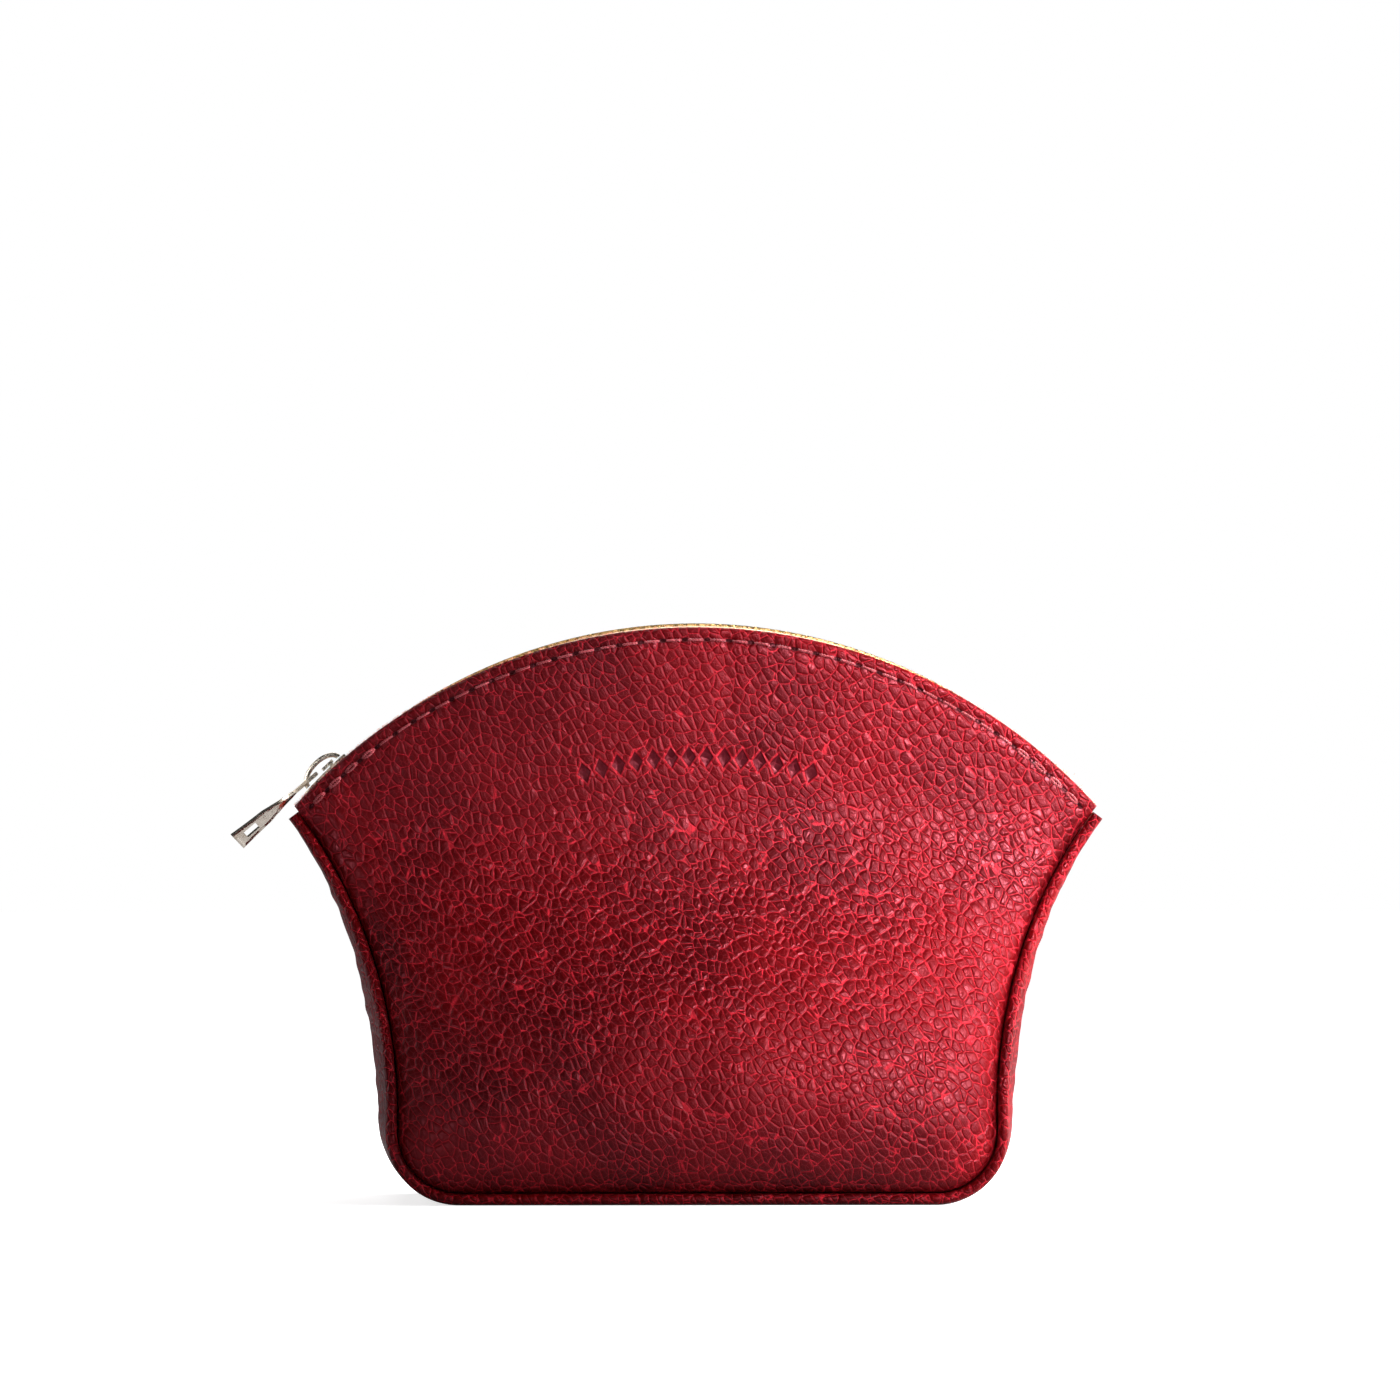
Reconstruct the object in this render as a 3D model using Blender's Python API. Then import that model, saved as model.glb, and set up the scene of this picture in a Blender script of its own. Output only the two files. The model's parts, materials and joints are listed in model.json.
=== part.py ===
"""Half-moon zippered leather pouch: three leather pieces, a curved metal zip, its slider and puller.

Metres, +Z up. X runs along the zip, the front faces -Y, and the origin is the middle of the flat base.
"""

import math

import bmesh
import bpy
from mathutils import Matrix, Vector

# Front and back panels
TOP_RADIUS = 0.1345  # of the arched top edge
HORN_HALF = 0.100  # half the panel's width at its two upper corners
HORN_Z = 0.0983  # height of those corners
WAIST_HALF = 0.074  # half the panel's width low down
WAIST_Z = 0.022  # the height where the sides stand upright
CORNER_RADIUS = 0.015  # of the bottom corners
BASE_HALF_DEPTH = 0.033
SHOULDER_RISE = 0.0057  # this far above their upper corners the panels stand flat
BELLY = 0.005  # how far a panel swells beyond its seams
LEATHER = 0.0017
LIP_DEPTH = 0.0045  # seam allowance turned into the pouch

# Gusset, turned over in a roll along both seams
ROLL_WIDTH = 0.0031
ROLL_SINK = 0.0006  # the roll's crest below the panel's face
GUSSET_BULGE = 0.0024
GUSSET_DROP = 0.0017  # its ends stop this far below the panels' upper corners

# Where the front and back can flex open, this far along the chain from the parked slider
FLEX_INSET = 0.0035

# Zip
CHAIN_SINK = 0.0022  # the chain lies this much below the leather edge where the slider parks
PARK_INSET = 0.0088  # from a panel's corner in to the slider's middle when the zip is shut
TOOTH_PITCH = 0.0027
TOOTH_HALF_THICK = 0.0010
TOOTH_FROM = 0.0005  # a tooth's head, from the middle of the chain
TOOTH_NECK = 0.0019
CHAIN_HALF = 0.0030
TAPE_THICK = 0.0006
TAPE_DEPTH = 0.014
STOP_LENGTH = 0.0017
STITCH_MARGIN = 0.0031
TOPSTITCH_WIDTH = 0.0006
TOPSTITCH_THICK = 0.0004
SEAM_THREAD_RADIUS = 0.00035

# Slider
SLIDER_HALF_LENGTH = 0.00675
SLIDER_FLARE = 0.0010  # added to its half width at the end that opens the teeth
CHAIN_CLEARANCE = 0.0004  # between the teeth and the slider's flanges
TAPE_CLEARANCE = 0.0011  # between the slider and the upright part of the tape
PLATE_THICK = 0.0009
FLANGE_THICK = 0.0009
WEB_HALF = 0.0002
CROWN_HALF_LENGTH = 0.0058
CROWN_RISE = 0.0037
CROWN_THICK = 0.0012
CROWN_HALF_WIDTH = 0.0016
PAWL_HALF_WIDTH = 0.0006

# Puller
PULLER_PIVOT_BACK = 0.0018  # the pivot's place behind the slider's middle
PULLER_PIVOT_RISE = 0.0012  # above the slider's upper plate
PULLER_LIFT = math.radians(5.4)  # the puller's rest slope above the chain's
PULLER_LENGTH = 0.0257
PULLER_THICK = 0.0010
PULLER_RING_LENGTH = 0.0066
PULLER_BAR = 0.0006
PULLER_TWIST = math.radians(26)
SLOT_FROM = 0.0192
SLOT_TO = 0.0230
SLOT_HALF = 0.0018

GAP = 0.0003  # between pieces that touch
ARC_STEPS = 28

SLIDER_NARROW_HALF = CHAIN_HALF + CHAIN_CLEARANCE + FLANGE_THICK
SLIDER_WIDE_HALF = SLIDER_NARROW_HALF + SLIDER_FLARE
TAPE_INNER = SLIDER_WIDE_HALF + TAPE_CLEARANCE
TAPE_OUTER = TAPE_INNER + TAPE_THICK
TOP_HALF_DEPTH = TAPE_OUTER + GAP + LEATHER  # from the middle of the zip to a panel's outer face

SEAM_Z = ROLL_WIDTH
SHOULDER_Z = HORN_Z + SHOULDER_RISE
ARC_CENTRE_Z = HORN_Z - math.sqrt(TOP_RADIUS**2 - HORN_HALF**2)
APEX_Z = ARC_CENTRE_Z + TOP_RADIUS
SIDE_RADIUS = ((HORN_HALF - WAIST_HALF) ** 2 + (HORN_Z - WAIST_Z) ** 2) / (2 * (HORN_HALF - WAIST_HALF))
HORN_TURN = math.asin((HORN_Z - WAIST_Z) / SIDE_RADIUS)

PARK_X = HORN_HALF - PARK_INSET
PARK_Z = ARC_CENTRE_Z + math.sqrt(TOP_RADIUS**2 - PARK_X**2) - CHAIN_SINK
CHAIN_SAG = APEX_Z - PARK_Z
CHAIN_RADIUS = (PARK_X**2 + CHAIN_SAG**2) / (2 * CHAIN_SAG)
CHAIN_CENTRE_Z = APEX_Z - CHAIN_RADIUS
PARK_ANGLE = math.asin(PARK_X / CHAIN_RADIUS)
CHAIN_END = PARK_ANGLE + (SLIDER_HALF_LENGTH + GAP) / CHAIN_RADIUS
FLEX_ANGLE = PARK_ANGLE - (SLIDER_HALF_LENGTH + FLEX_INSET) / CHAIN_RADIUS
FLEX_Z = CHAIN_CENTRE_Z + CHAIN_RADIUS * math.cos(FLEX_ANGLE)
HALF_GAP_ANGLE = GAP / 2 / CHAIN_RADIUS

PLATE_INNER = TOOTH_HALF_THICK + GAP
PLATE_OUTER = PLATE_INNER + PLATE_THICK
PULLER_SLOPE = PARK_ANGLE + PULLER_PIVOT_BACK / CHAIN_RADIUS - PULLER_LIFT


def clear_scene():
    for obj in list(bpy.data.objects):
        bpy.data.objects.remove(obj)


def make_material(name, color, roughness, metallic=0.0):
    material = bpy.data.materials.new(name)
    material.use_nodes = True
    shader = material.node_tree.nodes["Principled BSDF"]
    shader.inputs["Base Color"].default_value = (*color, 1)
    shader.inputs["Roughness"].default_value = roughness
    shader.inputs["Metallic"].default_value = metallic
    material.diffuse_color = (*color, 1)
    return material


def add_empty(name, place, parent=None):
    """An empty on a joint's axis. Place is in world coordinates."""
    empty = bpy.data.objects.new(name, None)
    bpy.context.scene.collection.objects.link(empty)
    empty["world_place"] = place
    empty.location = Vector(place)
    if parent:
        empty.parent = parent
        empty.location = Vector(place) - Vector(parent["world_place"])
    return empty


def add_piece(name, bm, material, axis=None):
    """Turns a bmesh in world coordinates into an object, on its joint's empty if it has one."""
    bmesh.ops.recalc_face_normals(bm, faces=bm.faces)
    if bm.calc_volume(signed=True) < 0:
        bmesh.ops.reverse_faces(bm, faces=bm.faces)
    mesh = bpy.data.meshes.new(name)
    if axis:
        bmesh.ops.translate(bm, verts=bm.verts, vec=-Vector(axis["world_place"]))
    bm.to_mesh(mesh)
    bm.free()
    mesh.shade_smooth()
    mesh.set_sharp_from_angle(angle=math.radians(35))
    mesh.materials.append(material)
    obj = bpy.data.objects.new(name, mesh)
    bpy.context.scene.collection.objects.link(obj)
    obj.parent = axis
    return obj


def loft(rings):
    """A closed bmesh through rings of points, with a face over each end.

    Returns it with its side faces, one list for each stretch between two rings.
    """
    bm = bmesh.new()
    loops = [[bm.verts.new(point) for point in ring] for ring in rings]
    sides = []
    for low, high in zip(loops, loops[1:]):
        count = len(low)
        sides.append([bm.faces.new((low[k], low[(k + 1) % count], high[(k + 1) % count], high[k]))
                      for k in range(count)])
    bm.faces.new(loops[0])
    bm.faces.new(loops[-1])
    return bm, sides


def steps(start, stop, count):
    return [start + (stop - start) * k / count for k in range(count + 1)]


# The seam line, as half of the panel's outline from the bottom up: (x, z) and the inward normal


def seam_stations():
    stations = []
    corner_x = WAIST_HALF - CORNER_RADIUS
    corner_z = SEAM_Z + CORNER_RADIUS
    for turn in steps(0, math.pi / 2, 6):
        inward = (-math.sin(turn), math.cos(turn))
        stations.append((corner_x - CORNER_RADIUS * inward[0], corner_z - CORNER_RADIUS * inward[1], inward))
    for turn in steps(0, HORN_TURN, 11):
        inward = (-math.cos(turn), math.sin(turn))
        x = WAIST_HALF + SIDE_RADIUS * (1 + inward[0])
        stations.append((x, WAIST_Z + SIDE_RADIUS * inward[1], inward))
    return stations


def edge_half(z, inset=0.0):
    """Half the width of the arched top at height z."""
    return math.sqrt((TOP_RADIUS - inset) ** 2 - (z - ARC_CENTRE_Z) ** 2)


def seam_depth(z):
    """Distance from the zip's plane to a panel's seam."""
    share = min(max((z - SEAM_Z) / (SHOULDER_Z - SEAM_Z), 0), 1)
    return TOP_HALF_DEPTH + (BASE_HALF_DEPTH - TOP_HALF_DEPTH) * math.cos(math.pi / 2 * share) ** 2


def belly_shape(z):
    """0 at the bottom seam and the shoulder, 1 a third of the way up."""
    share = min(max((z - SEAM_Z) / (SHOULDER_Z - SEAM_Z), 0), 1)
    return 27 / 4 * share * (1 - share) ** 2


def face_depth(across, z):
    """Distance from the zip's plane to a panel's outer face; across runs from -1 to 1 between the seams."""
    return seam_depth(z) + BELLY * belly_shape(z) * (1 - across**4)


# Leather


def panel_rows():
    """The panel's outline below the flex line: (x, z, inset x, inset z, depth of the turned-in lip)."""
    rows = []
    stations = seam_stations()
    for x, z, inward in stations[:-1]:
        fade = min(max((HORN_Z - z) / (HORN_Z - SEAM_Z) * 6, 0), 1)
        lip = LEATHER + GAP + (LIP_DEPTH - LEATHER - GAP) * fade
        rows.append((x, z, x + LEATHER * inward[0], z + LEATHER * inward[1], lip))
    x, z, side = stations[-1]
    top = (-x / TOP_RADIUS, (ARC_CENTRE_Z - z) / TOP_RADIUS)
    mitre = LEATHER / (1 + side[0] * top[0] + side[1] * top[1])
    inset = (x + mitre * (side[0] + top[0]), z + mitre * (side[1] + top[1]))
    rows.append((x, z, inset[0], inset[1], LEATHER + GAP))
    for z in steps(HORN_Z, FLEX_Z - GAP / 2, 4)[1:]:
        inner_z = min(z, FLEX_Z - GAP / 2)
        rows.append((edge_half(z), z, edge_half(inner_z, LEATHER), inner_z, LEATHER + GAP))
    return rows


def make_panel(name, side, material):
    """A panel below the flex line: a swelling shell with its seam allowance turned in."""
    columns = steps(-1, 1, 16)
    bm = bmesh.new()
    outer, inner = [], []
    rows = panel_rows()
    for x, z, inset_x, inset_z, lip in rows:
        outer.append([bm.verts.new((x * c, side * face_depth(c, z), z)) for c in columns])
        inner.append([bm.verts.new((inset_x * c, side * (face_depth(c, z) - LEATHER), inset_z)) for c in columns])
    for grid in (outer, inner):
        for low, high in zip(grid, grid[1:]):
            for k in range(len(columns) - 1):
                bm.faces.new((low[k], low[k + 1], high[k + 1], high[k]))

    def rim(grid):
        """Round the seam edge from the left top corner down and up to the right, then back along the top."""
        left = [row[0] for row in reversed(grid)]
        right = [row[-1] for row in grid]
        return left + grid[0][1:-1] + right + list(reversed(grid[-1][1:-1]))

    lips = [row[4] for row in rows]
    flat = [0] * (len(columns) - 2)
    lip_round = list(reversed(lips)) + [lips[0] + k for k in flat] + lips + [lips[-1] + k for k in flat]
    outer_rim, inner_rim = rim(outer), rim(inner)
    lip_outer = [bm.verts.new(v.co - Vector((0, side * d, 0))) for v, d in zip(outer_rim, lip_round)]
    lip_inner = [bm.verts.new((v.co.x, w.co.y, v.co.z)) for v, w in zip(inner_rim, lip_outer)]
    bands = [outer_rim, lip_outer, lip_inner, inner_rim]
    for near, far in zip(bands, bands[1:]):
        for k in range(len(near)):
            after = (k + 1) % len(near)
            bm.faces.new((near[k], near[after], far[after], far[k]))
    return add_piece(name, bm, material)


def make_panel_top(name, side, material, axis):
    """The flat top of a panel, above the flex line: a segment of the arch."""
    z = FLEX_Z + GAP / 2
    half = edge_half(z)
    end = math.asin(half / TOP_RADIUS)
    rings = []
    for y in (side * TOP_HALF_DEPTH, side * (TOP_HALF_DEPTH - LEATHER)):
        rings.append([(TOP_RADIUS * math.sin(a), y, ARC_CENTRE_Z + TOP_RADIUS * math.cos(a))
                      for a in steps(-end, end, ARC_STEPS)])
    bm, _ = loft(rings)
    return add_piece(name, bm, material, axis)


def gusset_section(depth, bulge):
    """The gusset's section as (outward, y) from the seam line: a web with a rolled edge front and back."""
    web_half = depth - ROLL_SINK - ROLL_WIDTH / 2
    lip_end = depth - LIP_DEPTH
    seam_side = GAP
    inner = ROLL_WIDTH - LEATHER
    roll = [
        (inner, lip_end),
        (seam_side, lip_end),
        (seam_side, web_half + ROLL_WIDTH * 0.15),
        (seam_side + ROLL_WIDTH * 0.15, web_half + ROLL_WIDTH * 0.37),
        ((seam_side + ROLL_WIDTH) / 2, depth - ROLL_SINK),
        (ROLL_WIDTH * 0.87, web_half + ROLL_WIDTH * 0.33),
    ]

    def swell(y):
        return bulge * (1 - (y / web_half) ** 2)

    across = steps(-1, 1, 6)
    outside = [(ROLL_WIDTH + swell(web_half * c), web_half * c) for c in reversed(across)]
    inside = [(inner + swell(lip_end * c), lip_end * c) for c in across[1:-1]]
    front = [(u, -y) for u, y in reversed(roll)]
    return roll + outside + front + inside


def make_gusset(material):
    end_turn = HORN_TURN - GUSSET_DROP / SIDE_RADIUS
    half = seam_stations()
    inward = (-math.cos(end_turn), math.sin(end_turn))
    half[-1] = (WAIST_HALF + SIDE_RADIUS * (1 + inward[0]), WAIST_Z + SIDE_RADIUS * inward[1], inward)
    path = [(-x, z, (-n[0], n[1])) for x, z, n in reversed(half)] + half
    rings = []
    for x, z, inward in path:
        depth = seam_depth(z)
        rings.append([(x - u * inward[0], y, z - u * inward[1])
                      for u, y in gusset_section(depth, GUSSET_BULGE * belly_shape(z))])
    bm, _ = loft(rings)
    return add_piece("gusset", bm, material)


def make_seam_thread(name, side, material):
    """The lock stitch that holds a panel to the gusset, along the inside of the seam allowance."""
    inset = LEATHER + GAP + SEAM_THREAD_RADIUS
    half = seam_stations()[:-1]
    path = [(-x, z, (-n[0], n[1])) for x, z, n in reversed(half)] + half
    rings = []
    for x, z, inward in path:
        ring = []
        for k in range(6):
            turn = math.radians(60 * k)
            u = inset + SEAM_THREAD_RADIUS * math.cos(turn)
            y = seam_depth(z) - (LIP_DEPTH + LEATHER) / 2 + SEAM_THREAD_RADIUS * math.sin(turn)
            ring.append((x + u * inward[0], side * y, z + u * inward[1]))
        rings.append(ring)
    bm, _ = loft(rings)
    return add_piece(name, bm, material)


# Zip. On the chain, s is the distance along it from a middle angle and h the height above its middle


def on_chain(s, h, y, middle):
    angle = middle + s / CHAIN_RADIUS
    radius = CHAIN_RADIUS + h
    return (radius * math.sin(angle), y, CHAIN_CENTRE_Z + radius * math.cos(angle))


def stretch_angles(stretch):
    """First and last angle of the left, middle or right stretch of the chain."""
    near = FLEX_ANGLE + HALF_GAP_ANGLE
    return {
        "left": (-CHAIN_END, -near),
        "middle": (-FLEX_ANGLE + HALF_GAP_ANGLE, FLEX_ANGLE - HALF_GAP_ANGLE),
        "right": (near, CHAIN_END),
    }[stretch]


def make_teeth(name, side, stretch, material, axis=None):
    """One row of teeth, joined by the cord of the tape that they are clamped on."""
    start, stop = stretch_angles(stretch)
    count = 2 * round((stop - start) * CHAIN_RADIUS / TOOTH_PITCH) + 1
    section = [(TOOTH_HALF_THICK, TOOTH_NECK), (TOOTH_HALF_THICK, CHAIN_HALF),
               (-TOOTH_HALF_THICK, CHAIN_HALF), (-TOOTH_HALF_THICK, TOOTH_NECK)]
    rings = [[on_chain(0, h, side * y, angle) for h, y in section] for angle in steps(start, stop, count)]
    bm, sides = loft(rings)
    heads = [stretch_faces[3] for stretch_faces in sides[::2]]
    grown = bmesh.ops.extrude_discrete_faces(bm, faces=heads)["faces"]
    tips = {vert for face in grown for vert in face.verts}
    bmesh.ops.translate(bm, verts=list(tips), vec=(0, side * (TOOTH_FROM - TOOTH_NECK), 0))
    return add_piece(name, bm, material, axis)


def make_tape(name, side, stretch, material, axis=None):
    """Woven tape: level beside the teeth, then turned down behind the leather."""
    half = TAPE_THICK / 2
    inner_end = CHAIN_HALF + GAP
    bend = TAPE_OUTER - 2 * TAPE_THICK
    section = [(half, inner_end), (half, bend), (-half, TAPE_OUTER), (-TAPE_DEPTH, TAPE_OUTER),
               (-TAPE_DEPTH, TAPE_INNER), (-2 * half, TAPE_INNER), (-half, bend - half), (-half, inner_end)]
    reach = CHAIN_END + STOP_LENGTH / CHAIN_RADIUS
    ends = {"left": (-reach, -FLEX_ANGLE / 2), "middle": (-reach, reach), "right": (FLEX_ANGLE / 2, reach)}
    start, stop = ends[stretch]
    angles = steps(start, stop, ARC_STEPS if stretch == "middle" else ARC_STEPS // 3)
    bm, _ = loft([[on_chain(0, h, side * y, angle) for h, y in section] for angle in angles])
    middle = stretch == "middle"
    cut = FLEX_Z + (GAP / 2 if middle else -GAP / 2)
    bmesh.ops.bisect_plane(bm, geom=list(bm.verts) + list(bm.edges) + list(bm.faces), dist=1e-7,
                           plane_co=(0, 0, cut), plane_no=(0, 0, -1 if middle else 1), clear_outer=True)
    bmesh.ops.holes_fill(bm, edges=[edge for edge in bm.edges if edge.is_boundary])
    return add_piece(name, bm, material, axis)


def make_topstitch(name, side, stretch, material, axis=None):
    """The row of stitches that holds a panel to its tape, as one flat strand over the leather."""
    radius = TOP_RADIUS - STITCH_MARGIN
    flex = math.acos((FLEX_Z - ARC_CENTRE_Z) / radius)
    end = math.atan2(HORN_HALF, HORN_Z - ARC_CENTRE_Z) - STITCH_MARGIN / radius
    gap = 2 * GAP / radius
    start, stop = {"left": (-end, -flex - gap), "middle": (-flex + gap, flex - gap), "right": (flex + gap, end)}[stretch]
    rings = []
    for angle in steps(start, stop, ARC_STEPS if stretch == "middle" else 3):
        ring = []
        for across, out in ((1, 0), (1, 1), (-1, 1), (-1, 0)):
            r = radius + across * TOPSTITCH_WIDTH / 2
            z = ARC_CENTRE_Z + r * math.cos(angle)
            y = seam_depth(z) + GAP + out * TOPSTITCH_THICK
            ring.append((r * math.sin(angle), side * y, z))
        rings.append(ring)
    bm, _ = loft(rings)
    return add_piece(name, bm, material, axis)


def make_stop(name, low_y, high_y, middle, material):
    """A stop clamped on the tape's edge at one end of the chain."""
    half = STOP_LENGTH / 2 - GAP / 2
    section = [(TOOTH_HALF_THICK, low_y), (TOOTH_HALF_THICK, high_y),
               (-TOOTH_HALF_THICK, high_y), (-TOOTH_HALF_THICK, low_y)]
    bm, _ = loft([[on_chain(s, h, y, middle) for h, y in section] for s in steps(-half, half, 2)])
    bmesh.ops.bevel(bm, geom=list(bm.edges), offset=GAP / 2, segments=1, profile=0.5, affect="EDGES")
    return add_piece(name, bm, material)


# Slider and puller


def block_on_chain(s_range, h_range, y_range, middle):
    low_h, high_h = h_range
    low_y, high_y = y_range
    section = [(high_h, low_y), (high_h, high_y), (low_h, high_y), (low_h, low_y)]
    return loft([[on_chain(s, h, y, middle) for h, y in section] for s in steps(*s_range, 2)])[0]


PAWL_PIN = (0.0022, 0.0032)  # the pin's two sides, along the slider


def slider_section(s):
    """The upper plate with the flanges that turn in over the tape, as (h, y); the lower one mirrors it.

    Its last two points are where the web that parts the teeth meets it.
    """
    flange = TAPE_THICK / 2 + GAP
    share = 0.5 - s / (2 * SLIDER_HALF_LENGTH)
    half = SLIDER_NARROW_HALF + (SLIDER_WIDE_HALF - SLIDER_NARROW_HALF) * share**2
    inside = half - FLANGE_THICK
    return [(PLATE_INNER, -inside), (flange, -inside), (flange, -half), (PLATE_OUTER, -half),
            (PLATE_OUTER, half), (flange, half), (flange, inside), (PLATE_INNER, inside),
            (PLATE_INNER, WEB_HALF), (PLATE_INNER, -WEB_HALF)]


def make_slider(material, axis):
    """Two plates joined at the wide end by a thin web, with a hole above for the pawl's pin."""
    bm = bmesh.new()
    lengths = steps(-SLIDER_HALF_LENGTH, SLIDER_HALF_LENGTH, 6)
    web_end = lengths[2]
    plates = {}
    for s in lengths:
        for direction in (1, -1):
            points = [on_chain(s, direction * h, y, -PARK_ANGLE) for h, y in slider_section(s)]
            plates[s, direction] = [bm.verts.new(point) for point in points]
    for near, far in zip(lengths, lengths[1:]):
        for direction in (1, -1):
            low, high = plates[near, direction], plates[far, direction]
            for k in range(10):
                if k == 8 and far <= web_end:
                    continue
                bm.faces.new((low[k], low[(k + 1) % 10], high[(k + 1) % 10], high[k]))
        if far <= web_end:
            for k in (8, 9):
                bm.faces.new((plates[near, 1][k], plates[near, -1][k], plates[far, -1][k], plates[far, 1][k]))
    for s in (lengths[0], lengths[-1]):
        for direction in (1, -1):
            bm.faces.new(plates[s, direction])
    for s in (lengths[0], web_end):
        upper, lower = plates[s, 1], plates[s, -1]
        bm.faces.new((upper[8], upper[9], lower[9], lower[8]))
    body = add_piece("slider_body", bm, material, axis)
    hole = block_on_chain((PAWL_PIN[0] - GAP, PAWL_PIN[1] + GAP), (PLATE_INNER / 2, 2 * PLATE_OUTER),
                          (-PAWL_HALF_WIDTH - GAP, PAWL_HALF_WIDTH + GAP), -PARK_ANGLE)
    cutter = add_piece("pawl_hole", hole, material, axis)
    cutter.hide_render = True
    cutter.display_type = "WIRE"
    boolean = body.modifiers.new("pawl_hole", "BOOLEAN")
    boolean.operation = "DIFFERENCE"
    boolean.solver = "EXACT"
    boolean.object = cutter


def make_crown(material, axis):
    """The arched bridge over the slider that the puller hangs on."""
    foot = PLATE_OUTER + GAP
    rings = []
    for turn in steps(0, math.pi, 12):
        ring = []
        for thick, y in ((0, -CROWN_HALF_WIDTH), (0, CROWN_HALF_WIDTH),
                         (CROWN_THICK, CROWN_HALF_WIDTH), (CROWN_THICK, -CROWN_HALF_WIDTH)):
            s = (CROWN_HALF_LENGTH - thick) * math.cos(turn)
            h = foot + (CROWN_RISE - GAP - thick) * math.sin(turn)
            ring.append(on_chain(s, h, y, -PARK_ANGLE))
        rings.append(ring)
    bm, _ = loft(rings)
    return add_piece("slider_crown", bm, material, axis)


def make_pawl(material, axis):
    """The sprung lever under the crown, whose pin reaches through the slider to the teeth."""
    top = PLATE_OUTER + 0.0011
    foot = PLATE_OUTER + GAP
    tip = TOOTH_HALF_THICK + GAP / 2
    outline = [(0.0002, top), (0.0036, top), (0.0036, foot), (PAWL_PIN[1], foot),
               (PAWL_PIN[1], tip), (PAWL_PIN[0], tip), (PAWL_PIN[0], foot), (0.0002, foot)]
    rings = [[on_chain(s, h, y, -PARK_ANGLE) for s, h in outline] for y in (-PAWL_HALF_WIDTH, PAWL_HALF_WIDTH)]
    bm, _ = loft(rings)
    return add_piece("slider_pawl", bm, material, axis)


def puller_half_width(t):
    """Waisted in the middle and flared at the tip."""
    ring_half = CROWN_HALF_WIDTH + GAP + 0.0010
    share = max(t - PULLER_RING_LENGTH, 0) / (PULLER_LENGTH - PULLER_RING_LENGTH)
    waist = 1 - 0.35 * math.sin(math.pi * min(share / 0.5, 1))
    return ring_half * waist + 0.0019 * share**2


def make_puller(pivot, material, axis):
    """A flat tab with a hole for the crown at one end and a slot at the other, loosely twisted where it rests."""
    hole_half = CROWN_HALF_WIDTH + GAP
    lengths = ([-PULLER_BAR, PULLER_BAR] + steps(PULLER_BAR, PULLER_RING_LENGTH, 2)[1:]
               + steps(PULLER_RING_LENGTH, SLOT_FROM, 7)[1:] + steps(SLOT_FROM, SLOT_TO, 1)[1:] + [PULLER_LENGTH])
    bm = bmesh.new()
    rows = []
    for t in lengths:
        half = puller_half_width(t)
        inner = SLOT_HALF if t > (PULLER_RING_LENGTH + SLOT_FROM) / 2 else min(hole_half, half - 0.0005)
        rows.append([bm.verts.new((t, y, 0)) for y in (-half, -inner, inner, half)])
    for (low, high), t in zip(zip(rows, rows[1:]), lengths):
        in_ring = PULLER_BAR <= t < PULLER_RING_LENGTH - GAP
        in_slot = SLOT_FROM - GAP <= t < SLOT_TO - GAP
        for k in range(3):
            if k == 1 and (in_ring or in_slot):
                continue
            bm.faces.new((low[k], low[k + 1], high[k + 1], high[k]))
    grown = bmesh.ops.extrude_face_region(bm, geom=list(bm.faces))["geom"]
    raised = [item for item in grown if isinstance(item, bmesh.types.BMVert)]
    bmesh.ops.translate(bm, verts=raised, vec=(0, 0, PULLER_THICK))
    bmesh.ops.translate(bm, verts=bm.verts, vec=(0, 0, -PULLER_THICK / 2))
    for vert in bm.verts:
        share = min(max((vert.co.x - PULLER_RING_LENGTH) / PULLER_RING_LENGTH, 0), 1)
        vert.co = Matrix.Rotation(-PULLER_TWIST * share, 3, "X") @ vert.co
    along = Vector((-math.cos(PULLER_SLOPE), 0, -math.sin(PULLER_SLOPE)))
    outward = Vector((-math.sin(PULLER_SLOPE), 0, math.cos(PULLER_SLOPE)))
    for vert in bm.verts:
        x, y, z = vert.co
        vert.co = Vector(pivot) + along * x + Vector((0, y, 0)) + outward * z
    return add_piece("puller", bm, material, axis)


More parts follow.
